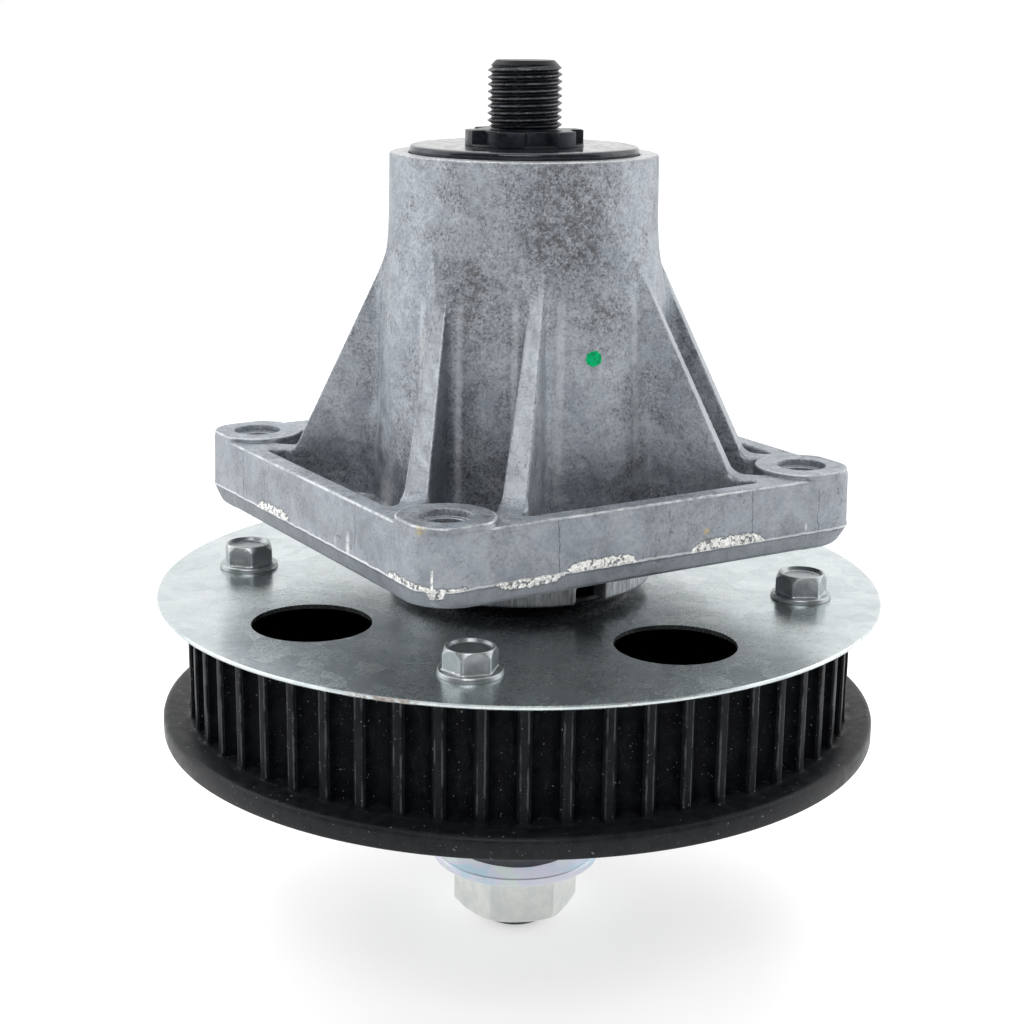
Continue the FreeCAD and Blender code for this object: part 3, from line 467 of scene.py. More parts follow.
foot = np.clip((ORR - 67.0) / 3.6, 0, 1)
prow = [ring_row(-47.2, 13.02), ring_row(-47.2, 18.2), ring_row(-47.0, 18.8), ring_row(-46.4, 19.0), ring_row(FLZ - 0.4, 19.0), ring_row(FLZ, 19.6),
        ring_row(FLZ, 40.0), ring_row(FLZ, 60.0), ring_row(FLZ, 75.5), ring_row(FLZ + 0.07, 75.85), ring_row(FLZ + 0.25, 76.12), ring_row(FLZ + 0.55, 76.24),
        ring_row(BOTZ - 1.1, 76.24), ring_row(BOTZ - 0.5, 76.05), ring_row(BOTZ - 0.15, 75.6), ring_row(BOTZ, 75.0), ring_row(BOTZ, 72.2)]
prow += [ring_row(BOTZ, np.maximum(ORR + 0.45, 0)), ring_row(BOTZ + 0.14, ORR + 0.13), ring_row(BOTZ + 0.5, ORR)]
prow += [ring_row(z, ORR) for z in np.linspace(BOTZ + 3, TOPZ - 1.2, 6)]
prow += [ring_row(TOPZ - 0.25, ORR), ring_row(TOPZ - 0.05, ORR - 0.12), ring_row(TOPZ, ORR - 0.3), ring_row(TOPZ, 66.6), ring_row(TOPZ, 63.7), ring_row(TOPZ - 0.2, 63.5),
         ring_row(BOTZ + 1.6, 62.95), ring_row(BOTZ + 0.5, 62.4), ring_row(BOTZ, 61.3), ring_row(BOTZ, 40.0), ring_row(BOTZ, 21.2), ring_row(BOTZ + 0.5, 20.1),
         ring_row(BOTZ + 1.6, 19.55), ring_row(TOPZ - 0.2, 19.0), ring_row(TOPZ, 18.7), ring_row(TOPZ, 13.02), ring_row(-47.2, 13.02)]
pieces = [skin(prow)]
for k in range(4):
    a = ang0 + k * math.pi / 2
    ca, sa = math.cos(a), math.sin(a)
    w0, w1 = 1.9, 1.65
    zt, zb = TOPZ - 3.0, BOTZ - 0.5
    P = []
    for s, w in ((zb, w0), (zt, w1)):
        for rr, t in ((18.0, -w), (64.0, -w), (64.0, w), (18.0, w)):
            P.append((rr * ca - t * sa, rr * sa + t * ca, s))
    Q = [(0, 3, 2, 1), (4, 5, 6, 7), (0, 1, 5, 4), (1, 2, 6, 5), (2, 3, 7, 6), (3, 0, 4, 7)]
    pieces.append((np.array(P), np.array(Q), np.zeros((0, 3), int)))
    bp, bq, bt = rings([(BOTZ - 0.5, 5.9), (TOPZ - 0.3, 5.6), (TOPZ, 5.3), (TOPZ, 2.62), (TOPZ - 16, 2.62), (TOPZ - 16, 0.01)], 40, False, False)
    pieces.append((bp + np.array([60 * ca, 60 * sa, 0]), bq, bt))
pp, pq = join(pieces)
pulley = mesh_object("toothed_pulley_moulded", pp, pq)
by_angle(pulley, 42)


# ------------------------------------------------------------------ shader tools
class Mat:
    def __init__(self, name):
        self.m = bpy.data.materials.new(name)
        self.m.use_nodes = True
        self.t = self.m.node_tree
        self.t.nodes.clear()
        self.out = self.t.nodes.new("ShaderNodeOutputMaterial")
        self.bsdf = self.t.nodes.new("ShaderNodeBsdfPrincipled")
        self.t.links.new(self.bsdf.outputs[0], self.out.inputs[0])
        tc = self.t.nodes.new("ShaderNodeTexCoord")
        self.P = self.vec("MULTIPLY", tc.outputs["Object"], (1000.0, 1000.0, 1000.0))
        s = self.t.nodes.new("ShaderNodeSeparateXYZ")
        self.t.links.new(self.P, s.inputs[0])
        self.x, self.y, self.z = s.outputs
        g = self.t.nodes.new("ShaderNodeNewGeometry")
        s = self.t.nodes.new("ShaderNodeSeparateXYZ")
        self.t.links.new(g.outputs["Normal"], s.inputs[0])
        self.nx, self.ny, self.nz = s.outputs
        self.pointy = g.outputs["Pointiness"]

    def put(self, sock, v):
        if isinstance(v, bpy.types.NodeSocket):
            self.t.links.new(v, sock)
        elif v is not None:
            if isinstance(v, (tuple, list)) and len(v) == 3 and sock.type == "RGBA":
                v = (*v, 1.0)
            sock.default_value = v

    def math(self, op, a, b=None, c=None, clamp=False):
        n = self.t.nodes.new("ShaderNodeMath")
        n.operation = op
        n.use_clamp = clamp
        for s, v in zip(n.inputs, (a, b, c)):
            self.put(s, v)
        return n.outputs[0]

    def vec(self, op, a, b=None):
        n = self.t.nodes.new("ShaderNodeVectorMath")
        n.operation = op
        self.put(n.inputs[0], a)
        if b is not None:
            self.put(n.inputs[1], b)
        return n.outputs["Value"] if op in ("LENGTH", "DISTANCE", "DOT_PRODUCT") else n.outputs[0]

    def noise(self, scale, detail=4.0, rough=0.55, dist=0.0, vec=None, stretch=None, lac=2.0):
        v = vec or self.P
        if stretch:
            v = self.vec("MULTIPLY", v, stretch)
        n = self.t.nodes.new("ShaderNodeTexNoise")
        self.put(n.inputs["Vector"], v)
        n.inputs["Scale"].default_value = scale
        n.inputs["Detail"].default_value = detail
        n.inputs["Roughness"].default_value = rough
        n.inputs["Distortion"].default_value = dist
        n.inputs["Lacunarity"].default_value = lac
        return n.outputs["Fac"]

    def cells(self, scale, vec=None, feature="F1", out="Color", rnd=1.0):
        n = self.t.nodes.new("ShaderNodeTexVoronoi")
        n.feature = feature
        self.put(n.inputs["Vector"], vec or self.P)
        n.inputs["Scale"].default_value = scale
        n.inputs["Randomness"].default_value = rnd
        return n.outputs[out]

    def span(self, v, a, b, c=0.0, d=1.0, smooth=True):
        """v from a..b to c..d, held at both ends."""
        n = self.t.nodes.new("ShaderNodeMapRange")
        n.interpolation_type = "SMOOTHSTEP" if smooth else "LINEAR"
        for s, val in zip(("Value", "From Min", "From Max", "To Min", "To Max"), (v, a, b, c, d)):
            self.put(n.inputs[s], val)
        return n.outputs[0]

    def mix(self, f, a, b, mode="MIX"):
        n = self.t.nodes.new("ShaderNodeMix")
        n.data_type = "RGBA"
        n.blend_type = mode
        self.put(n.inputs[0], f)
        self.put(n.inputs[6], a)
        self.put(n.inputs[7], b)
        return n.outputs[2]

    def near(self, p, r0, r1, stretch=(1, 1, 1)):
        """1 inside r0 of the point p, 0 outside r1."""
        d = self.vec("SUBTRACT", self.P, p)
        d = self.vec("MULTIPLY", d, stretch)
        return self.span(self.vec("LENGTH", d), r0, r1, 1.0, 0.0)

    def bump(self, h, strength, dist_mm, normal=None):
        n = self.t.nodes.new("ShaderNodeBump")
        n.inputs["Strength"].default_value = strength
        n.inputs["Distance"].default_value = dist_mm * MM
        self.put(n.inputs["Height"], h)
        if normal is not None:
            self.put(n.inputs["Normal"], normal)
        return n.outputs[0]

    def set(self, **kw):
        names = {"color": "Base Color", "rough": "Roughness", "metal": "Metallic", "normal": "Normal", "spec": "Specular IOR Level",
                 "coat": "Coat Weight", "coat_rough": "Coat Roughness", "ior": "IOR"}
        for k, v in kw.items():
            self.put(self.bsdf.inputs[names[k]], v)
        return self.m


def add(m, *vals):
    s = vals[0]
    for v in vals[1:]:
        s = m.math("ADD", s, v)
    return s


# ------------------------------------------------------------------ cast aluminium
def cast_aluminium():
    m = Mat("cast_aluminium")
    absx, absy = m.math("ABSOLUTE", m.x), m.math("ABSOLUTE", m.y)
    wall = m.math("MULTIPLY", m.span(m.math("MAXIMUM", absx, absy), 47.3, 48.8), m.span(m.math("ABSOLUTE", m.nz), 0.75, 0.55))
    rad = m.vec("LENGTH", m.vec("MULTIPLY", m.P, (1, 1, 0)))
    ribface = m.math("MULTIPLY", m.math("MULTIPLY", m.span(m.nz, 0.36, 0.41), m.span(m.nz, 0.56, 0.48)), m.span(rad, 29.0, 31.0))
    smooth = m.math("MAXIMUM", m.math("MULTIPLY", wall, 0.50), m.math("MULTIPLY", ribface, 0.55))
    rugged = m.math("SUBTRACT", 1.0, smooth)
    broad = m.noise(0.045, 3, 0.5)
    blotch = m.noise(0.16, 4, 0.62, dist=0.6)
    mid = m.noise(0.55, 4, 0.65)
    sand = m.noise(1.7, 4, 0.75)
    grain = m.noise(5.5, 1, 0.6)
    c = m.mix(m.span(blotch, 0.36, 0.64), (0.256, 0.284, 0.324), (0.366, 0.395, 0.436))
    c = m.mix(m.span(broad, 0.35, 0.65, 0.0, 0.30), c, (0.41, 0.43, 0.455))
    # rib faces a little lighter: a cleaner skin, and partly a painted highlight on these up-tilted faces
    c = m.mix(m.math("MULTIPLY", ribface, 0.5), c, (0.43, 0.455, 0.485))
    # side walls darker: a smoother skin, and partly painted shade on these upright faces
    c = m.mix(m.math("MULTIPLY", wall, 0.35), c, (0.215, 0.232, 0.258))
    # cloudy zones with a dirtier, sandier skin
    zone = m.math("MAXIMUM", m.near((-7.0, -27.0, 66.0), 3.0, 20.0, (1, 1, 0.8)), m.math("MULTIPLY", m.near((26.0, 8.0, 60.0), 2.0, 20.0), 0.8))
    zone = m.math("MAXIMUM", zone, m.math("MULTIPLY", m.near((-24.0, 16.0, 52.0), 2.0, 18.0), 0.7))
    zone = m.math("MAXIMUM", zone, m.math("MULTIPLY", m.near((-23.0, -17.0, 50.0), 1.0, 13.0, (1, 1, 0.7)), 0.9))
    zone = m.math("MAXIMUM", zone, m.math("MULTIPLY", m.near((2.0, -29.0, 47.0), 2.0, 11.0, (1, 1, 1.0)), 0.8))
    dirty = m.math("MULTIPLY", m.span(m.noise(0.075, 4, 0.62, dist=0.9), 0.47, 0.62), 0.75)
    dirty = m.math("MULTIPLY", m.math("MAXIMUM", dirty, m.math("MULTIPLY", zone, m.span(m.noise(0.2, 3, 0.6), 0.34, 0.52, 0.35, 1.0))), rugged)
    c = m.mix(m.math("MULTIPLY", dirty, 0.26), c, (0.150, 0.152, 0.156))
    c = m.mix(m.math("MULTIPLY", m.span(mid, 0.46, 0.70, 0.0, 0.40), rugged), c, (0.15, 0.16, 0.175))
    sk = m.math("ADD", m.math("MULTIPLY", rugged, m.math("ADD", 0.38, m.math("MULTIPLY", dirty, 0.75))), 0.12)
    c = m.mix(m.math("MULTIPLY", m.span(sand, 0.52, 0.62, 0.0, 0.75), sk), c, (0.080, 0.082, 0.088))
    c = m.mix(m.math("MULTIPLY", m.span(sand, 0.47, 0.37, 0.0, 0.30), sk), c, (0.66, 0.68, 0.71))
    # short wormy lines of the casting skin
    worm = m.noise(0.85, 2, 0.55, dist=0.9)
    wl = m.span(m.math("ABSOLUTE", m.math("SUBTRACT", worm, 0.5)), 0.006, 0.022, 1.0, 0.0)
    wl = m.math("MULTIPLY", wl, m.span(m.noise(0.30, 2, 0.6, vec=m.vec("ADD", m.P, (17.0, 5.0, 9.0))), 0.42, 0.58))
    wl = m.math("MULTIPLY", wl, m.math("MULTIPLY", rugged, m.math("ADD", 0.45, m.math("MULTIPLY", dirty, 0.6))))
    worm2 = m.noise(1.5, 2, 0.55, dist=1.4, vec=m.vec("ADD", m.P, (41.0, 13.0, 29.0)))
    wl2 = m.span(m.math("ABSOLUTE", m.math("SUBTRACT", worm2, 0.5)), 0.010, 0.035, 1.0, 0.0)
    wl = m.math("MAXIMUM", wl, m.math("MULTIPLY", wl2, m.math("MULTIPLY", dirty, 0.9)))
    c = m.mix(m.math("MULTIPLY", wl, 0.78), c, (0.05, 0.05, 0.053))
    # metal flow marks: long wavering lines
    flow = m.noise(0.055, 4, 0.62, dist=1.6, stretch=(1.3, 1.3, 0.55))
    line = m.span(m.math("ABSOLUTE", m.math("SUBTRACT", flow, 0.5)), 0.0, 0.0065, 1.0, 0.0)
    line = m.math("MULTIPLY", line, m.span(m.noise(0.09, 2), 0.5, 0.62))
    flow2 = m.noise(0.12, 3, 0.6, dist=1.2, stretch=(1.0, 1.0, 0.7))
    line2 = m.span(m.math("ABSOLUTE", m.math("SUBTRACT", flow2, 0.48)), 0.0, 0.009, 1.0, 0.0)
    line2 = m.math("MULTIPLY", line2, m.span(m.noise(0.07, 2, stretch=(1, 1, 1.5)), 0.54, 0.64))
    lines = m.math("MAXIMUM", line, m.math("MULTIPLY", line2, 0.8))
    c = m.mix(m.math("MULTIPLY", lines, 0.68), c, (0.085, 0.09, 0.10))
    # dark freckles, thick in one zone of the barrel and sparse elsewhere
    fk1 = m.noise(0.62, 4, 0.75)
    thr = m.span(zone, 0.0, 1.0, 0.69, 0.505)
    freck = m.span(m.math("SUBTRACT", fk1, thr), 0.0, 0.045)
    patch = m.span(m.noise(0.14, 3), 0.38, 0.6)
    freck = m.math("MULTIPLY", freck, m.math("MAXIMUM", patch, m.math("MULTIPLY", zone, 0.9)))
    c = m.mix(m.math("MULTIPLY", freck, 0.70), c, (0.085, 0.082, 0.080))
    # small pits
    pit = m.span(m.noise(2.6, 2, 0.5), 0.70, 0.75)
    c = m.mix(m.math("MULTIPLY", pit, 0.6), c, (0.08, 0.08, 0.085))
    swirl = m.noise(0.075, 4, 0.6, dist=1.5, vec=m.vec("ADD", m.P, (7.0, 3.0, 19.0)))
    c = m.mix(m.math("MULTIPLY", m.span(swirl, 0.50, 0.66, 0.0, 0.26), wall), c, (0.40, 0.425, 0.455))
    c = m.mix(m.math("MULTIPLY", m.span(swirl, 0.46, 0.32, 0.0, 0.34), wall), c, (0.125, 0.135, 0.152))
    sl = m.span(m.math("ABSOLUTE", m.math("SUBTRACT", swirl, 0.455)), 0.0, 0.0055, 1.0, 0.0)
    sl = m.math("MULTIPLY", m.math("MULTIPLY", sl, wall), m.span(m.noise(0.13, 3, vec=m.vec("ADD", m.P, (5.0, 29.0, 2.0))), 0.46, 0.60))
    c = m.mix(m.math("MULTIPLY", sl, 0.75), c, (0.06, 0.063, 0.07))
    # painted highlight: a brighter line along the concave fillets beside the ribs
    vv = m.math("MULTIPLY", m.math("ABSOLUTE", m.math("SUBTRACT", absx, absy)), C2)
    fillet_highlight = m.math("MAXIMUM", m.span(m.math("ABSOLUTE", m.math("SUBTRACT", vv, 5.5)), 0.25, 1.0, 1.0, 0.0), m.span(m.math("ABSOLUTE", m.math("SUBTRACT", vv, 13.9)), 0.3, 1.1, 1.0, 0.0))
    fillet_highlight = m.math("MULTIPLY", fillet_highlight, m.math("MULTIPLY", m.span(rad, 33.2, 32.2), m.span(m.z, 53.0, 47.0)))
    fillet_highlight = m.math("MULTIPLY", fillet_highlight, m.math("MULTIPLY", m.span(m.z, 8.0, 14.0), m.span(rad, 28.5, 29.2)))
    c = m.mix(m.math("MULTIPLY", fillet_highlight, m.span(m.noise(0.35, 3, 0.6), 0.3, 0.6, 0.14, 0.34)), c, (0.66, 0.68, 0.71))
    # paler rim edge: partly knocked, partly a painted highlight along its rounded top edge
    rim_edge_highlight_and_wear = m.math("MULTIPLY", m.math("MULTIPLY", m.span(m.nz, 0.22, 0.42), m.span(m.nz, 0.93, 0.84)), m.math("MULTIPLY", m.span(m.math("MAXIMUM", absx, absy), 48.8, 49.4), m.span(m.z, 13.2, 13.8)))
    c = m.mix(m.math("MULTIPLY", rim_edge_highlight_and_wear, m.span(m.noise(0.25, 4, 0.65), 0.40, 0.60, 0.15, 0.75)), c, (0.66, 0.68, 0.69))
    dpn = m.vec("LENGTH", m.vec("MULTIPLY", m.vec("SUBTRACT", m.vec("ABSOLUTE", m.P), (41.72, 41.72, 0.0)), (1, 1, 0)))
    # painted highlight round the pads' top edge
    pad_edge_highlight = m.math("MULTIPLY", m.span(m.math("ABSOLUTE", m.math("SUBTRACT", dpn, 9.25)), 0.12, 0.30, 1.0, 0.0), m.span(m.z, 15.0, 15.3))
    c = m.mix(m.math("MULTIPLY", pad_edge_highlight, 0.55), c, (0.62, 0.64, 0.66))
    # painted shade in the crease where the pads meet the rim
    pad_foot_shade = m.math("MULTIPLY", m.span(m.math("ABSOLUTE", m.math("SUBTRACT", dpn, 9.75)), 0.10, 0.35, 1.0, 0.0), m.math("MULTIPLY", m.span(m.z, 14.2, 14.4), m.span(m.z, 15.2, 14.9)))
    c = m.mix(m.math("MULTIPLY", pad_foot_shade, 0.55), c, (0.07, 0.073, 0.08))
    # smeared metal: pale rub marks on the walls and on a tray floor
    rub = None
    for p, q0, q1, st in (((-50.4, -18.9, 5.4), 0.4, 2.0, (1, 1.6, 0.55)), ((-50.4, -13.5, 5.1), 0.15, 0.62, (1, 2.2, 0.5)), ((36.4, -50.3, 5.0), 0.15, 0.7, (1.6, 1, 0.6)), ((-30.2, 2.6, 8.6), 1.5, 4.6, (1, 1, 1))):
        q = m.near(p, q0, q1, st)
        rub = q if rub is None else m.math("MAXIMUM", rub, q)
    rub = m.math("MULTIPLY", rub, m.span(m.noise(0.9, 3, 0.65), 0.36, 0.52, 0.3, 1.0))
    c = m.mix(m.math("MULTIPLY", rub, 0.72), c, (0.66, 0.67, 0.68))
    # side walls: a darker lower band, the raised parting line, and rough pale patches where flash was broken off
    low = m.math("MULTIPLY", m.span(m.z, 3.65, 3.25, 0.0, 1.0), wall)
    c = m.mix(m.math("MULTIPLY", low, 0.42), c, (0.135, 0.148, 0.160))
    wob = m.math("MULTIPLY", m.math("SUBTRACT", m.noise(0.30, 3, 0.6), 0.5), 0.75)
    zp = m.math("SUBTRACT", m.math("ADD", m.z, wob), 3.75)
    seam = m.math("MULTIPLY", m.span(m.math("ABSOLUTE", zp), 0.10, 0.26, 1.0, 0.0), wall)
    c = m.mix(m.math("MULTIPLY", seam, 0.75), c, (0.66, 0.675, 0.69))
    # painted shade: a thin dark line on the downward face just below the raised parting line
    seam_underside_shade = m.math("MULTIPLY", m.span(m.math("ABSOLUTE", m.math("ADD", zp, 0.38)), 0.04, 0.16, 1.0, 0.0), wall)
    c = m.mix(m.math("MULTIPLY", seam_underside_shade, 0.5), c, (0.09, 0.095, 0.10))
    jag = m.math("MULTIPLY", m.math("SUBTRACT", m.noise(0.85, 4, 0.75), 0.5), 4.2)
    jag2 = m.math("MULTIPLY", m.math("SUBTRACT", m.noise(0.33, 2, 0.6), 0.5), 2.6)
    torn = None
    halo = None
    front = (0.85, -0.527, 0.0)
    for along, off, half, h, sign, side in (((1, 0, 0), -13.2, 8.2, 1.75, 1, (0, -1, 0)), ((1, 0, 0), 16.8, 9.0, 1.9, 1, (0, -1, 0)),
                                            ((1, 0, 0), -28.6, 7.6, 1.5, -1, (0, -1, 0)), (front, -20.2, 4.4, 1.0, 1, (-1, -1, 0)),
                                            (front, -13.0, 4.0, 0.5, 1, (-1, -1, 0)), (front, -14.9, 1.6, 1.8, -1, (-1, -1, 0)),
                                            ((0, 1, 0), 15.0, 8.0, 1.6, 1, (-1, 0, 0)), ((0, 1, 0), -10.0, 9.0, 2.0, 1, (1, 0, 0)),
                                            ((0, 1, 0), 22.0, 6.0, 1.5, -1, (1, 0, 0)), ((1, 0, 0), 18.0, 9.0, 2.1, 1, (0, 1, 0)),
                                            ((1, 0, 0), -20.0, 7.0, 1.6, 1, (0, 1, 0))):
        t = m.math("SUBTRACT", m.math("ADD", m.vec("DOT_PRODUCT", m.P, along), m.math("MULTIPLY", jag2, 0.6)), off)
        t = m.math("DIVIDE", m.math("ABSOLUTE", t), half)
        t = m.math("SUBTRACT", 1.0, m.math("POWER", t, 6.0))
        top = m.math("MULTIPLY", m.math("MAXIMUM", t, 0.0), h)
        here = m.span(m.vec("DOT_PRODUCT", m.P, side), 45.5 if side[0] * side[1] == 0 else 80.0, 46.5 if side[0] * side[1] == 0 else 84.0)
        zz_ = m.math("MULTIPLY", zp, float(sign))
        up_ = m.math("SUBTRACT", m.math("ADD", top, m.math("MULTIPLY", jag, 0.45)), zz_)
        q = m.math("MULTIPLY", m.span(up_, -0.02, 0.10), m.span(zz_, -0.22, -0.02))
        q = m.math("MULTIPLY", m.math("MULTIPLY", q, m.span(t, 0.0, 0.06)), here)
        e = m.math("MULTIPLY", m.math("MULTIPLY", m.span(up_, -0.38, -0.16), m.span(t, -0.22, -0.05)), here)
        e = m.math("MULTIPLY", e, m.span(zz_, -0.1, 0.1))
        torn = q if torn is None else m.math("MAXIMUM", torn, q)
        halo = e if halo is None else m.math("MAXIMUM", halo, e)
    # the thin upright runner above the front corner's patch
    tick = m.math("MULTIPLY", m.span(m.math("ABSOLUTE", m.math("ADD", m.vec("DOT_PRODUCT", m.P, front), 15.6)), 0.16, 0.28, 1.0, 0.0),
                  m.math("MULTIPLY", m.span(m.z, 3.0, 3.4), m.span(m.z, 7.9, 7.5)))
    tick = m.math("MULTIPLY", tick, m.span(m.vec("DOT_PRODUCT", m.P, (-1, -1, 0)), 80.0, 84.0))
    torn = m.math("MULTIPLY", torn, m.span(m.noise(0.8, 3, 0.65, vec=m.vec("ADD", m.P, (2.0, 23.0, 5.0))), 0.40, 0.44))
    torn = m.math("MULTIPLY", m.math("MAXIMUM", torn, tick), wall)
    halo = m.math("MULTIPLY", m.math("MULTIPLY", halo, wall), m.math("SUBTRACT", 1.0, torn))
    c = m.mix(m.math("MULTIPLY", halo, 0.62), c, (0.10, 0.105, 0.11))
    crumb = m.noise(1.25, 3, 0.72)
    crev = m.span(m.noise(0.95, 3, 0.7, vec=m.vec("ADD", m.P, (3.0, 11.0, 7.0))), 0.56, 0.62)
    tc_ = m.mix(m.span(crumb, 0.36, 0.62), (0.56, 0.565, 0.55), (0.93, 0.93, 0.90))
    tc_ = m.mix(m.math("MULTIPLY", crev, 0.9), tc_, (0.09, 0.09, 0.085))
    c = m.mix(torn, c, tc_)
    # hairline cold shuts down the walls
    crack = None
    for p in ((-22.5, -50.3, 9.3), (22.6, -50.3, 9.6), (39.3, -50.3, 7.1), (-50.3, -22.0, 10.7), (-50.3, 30.0, 9.0), (50.3, 5.0, 9.0), (-8.0, 50.3, 9.0)):
        along = (1, 0, 0) if abs(p[1]) > 50 else (0, 1, 0)
        d = m.vec("DOT_PRODUCT", m.vec("SUBTRACT", m.P, p), along)
        d = m.math("ADD", d, m.math("MULTIPLY", m.math("SUBTRACT", m.noise(0.5, 2), 0.5), 1.4))
        q = m.math("MULTIPLY", m.span(m.math("ABSOLUTE", d), 0.03, 0.13, 1.0, 0.0), m.near(p, 4.2, 6.2))
        crack = q if crack is None else m.math("MAXIMUM", crack, q)
    crack = m.math("MULTIPLY", crack, wall)
    c = m.mix(m.math("MULTIPLY", crack, 0.8), c, (0.06, 0.062, 0.066))
    # darker tray floors down in the pockets, pale edges on corners that get knocked
    tray = m.math("MULTIPLY", m.span(m.z, 9.0, 5.2, 0.0, 1.0), m.span(m.nz, 0.2, 0.8))
    c = m.mix(m.math("MULTIPLY", tray, 0.45), c, (0.17, 0.175, 0.19))
    worn = m.span(m.pointy, 0.53, 0.62)
    c = m.mix(m.math("MULTIPLY", worn, 0.16), c, (0.60, 0.61, 0.62))
    # paint dot and small stains
    ring = m.math("ADD", m.vec("LENGTH", m.vec("MULTIPLY", m.vec("SUBTRACT", m.P, (-1.85, -29.7, 39.1)), (1.0, 1.0, 1.14))), m.math("MULTIPLY", m.math("SUBTRACT", m.noise(1.5, 2, 0.6), 0.5), 0.9))
    dot = m.span(ring, 1.74, 1.82, 1.0, 0.0)
    c = m.mix(dot, c, m.mix(m.span(m.noise(1.3, 1), 0.42, 0.58), (0.0, 0.265, 0.085), (0.0, 0.39, 0.145)))
    stain = m.math("MULTIPLY", m.near((-50.0, -46.6, 14.9), 0.4, 1.6), m.span(m.noise(1.2, 1), 0.38, 0.55))
    stain = m.math("MAXIMUM", stain, m.math("MULTIPLY", m.near((11.5, -50.3, 7.5), 0.2, 1.1), m.span(m.noise(1.6, 1), 0.42, 0.56)))
    c = m.mix(m.math("MULTIPLY", stain, 0.6), c, (0.55, 0.42, 0.12))
    # machined boss and faces
    mach = m.math("MAXIMUM", m.math("MULTIPLY", m.span(m.z, -0.6, -0.9, 0.0, 1.0), m.span(rad, 27.0, 27.5)), m.span(m.z, 76.5, 76.7))
    streak = m.noise(1.6, 4, 0.6, stretch=(1.0, 1.0, 0.12))
    c = m.mix(m.math("MULTIPLY", mach, 0.8), c, m.mix(m.span(streak, 0.38, 0.62), (0.30, 0.31, 0.32), (0.62, 0.63, 0.64)))
    c = m.mix(m.span(m.nz, -0.6, -0.9, 0.0, 0.25), c, (0.55, 0.56, 0.57))
    rough = m.span(blotch, 0.3, 0.7, 0.44, 0.56)
    rough = m.math("SUBTRACT", rough, m.math("MULTIPLY", mach, 0.16))
    rough = m.math("SUBTRACT", rough, m.math("MULTIPLY", ribface, 0.06))
    rough = m.math("MAXIMUM", rough, m.math("MULTIPLY", dot, 0.4))
    h = add(m, m.math("MULTIPLY", m.noise(0.22, 1, 0.5), 1.3), m.math("MULTIPLY", m.math("MULTIPLY", mid, rugged), 0.42),
            m.math("MULTIPLY", m.math("MULTIPLY", sand, m.math("ADD", m.math("MULTIPLY", rugged, 0.8), 0.2)), 0.22), m.math("MULTIPLY", grain, 0.05))
    nrm = m.bump(m.math("MULTIPLY", h, m.span(mach, 0.0, 1.0, 1.0, 0.12)), 0.7, 0.50)
    metal = m.math("SUBTRACT", 0.70, m.math("MULTIPLY", dot, 0.70))
    metal = m.math("SUBTRACT", metal, m.math("MULTIPLY", torn, 0.45))
    return m.set(color=c, rough=rough, metal=metal, spec=m.span(dot, 0.0, 1.0, 0.5, 0.08), normal=nrm)


def black_oxide(name="black_oxide", base=0.022, rough=0.34, thread_lines=False, spec=0.5):
    m = Mat(name)
    n = m.noise(0.5, 5, 0.6)
    c = m.mix(m.span(n, 0.35, 0.7), (base * 0.75, base * 0.86, base * 1.15), (base * 1.55, base * 1.75, base * 2.3))
    dust = m.span(m.noise(3.2, 3, 0.6), 0.68, 0.76)
    c = m.mix(m.math("MULTIPLY", dust, 0.35), c, (0.30, 0.30, 0.30))
    worn = m.span(m.pointy, 0.53, 0.62)
    c = m.mix(m.math("MULTIPLY", worn, 0.35), c, (0.22, 0.22, 0.23))
    if thread_lines:
        rad = m.vec("LENGTH", m.vec("MULTIPLY", m.P, (1, 1, 0)))
        up = m.math("MAXIMUM", m.span(m.z, 81.6, 81.9), m.span(m.z, -86.0, -86.5))
        # painted highlight along the thread crests
        crest = m.math("MULTIPLY", m.span(rad, 7.36, 7.52), up)
        c = m.mix(m.math("MULTIPLY", crest, m.span(m.noise(0.45, 4, 0.65, stretch=(1, 1, 0.6)), 0.38, 0.62, 0.2, 0.9)), c, (0.13, 0.135, 0.15))
        # painted shade in the thread roots
        root_shade = m.math("MULTIPLY", m.span(rad, 7.25, 6.95), up)
        c = m.mix(m.math("MULTIPLY", root_shade, 0.8), c, (0.004, 0.004, 0.005))
    turned = m.noise(1.0, 2, 0.5, vec=m.vec("MULTIPLY", m.P, (0.02, 0.02, 9.0)))
    nrm = m.bump(m.math("ADD", m.math("MULTIPLY", turned, 0.4), m.math("MULTIPLY", m.noise(1.6, 3), 0.5)), 0.25, 0.08)
    return m.set(color=c, rough=m.span(n, 0.3, 0.7, rough - 0.06, rough + 0.1), metal=0.40, spec=spec, normal=nrm)


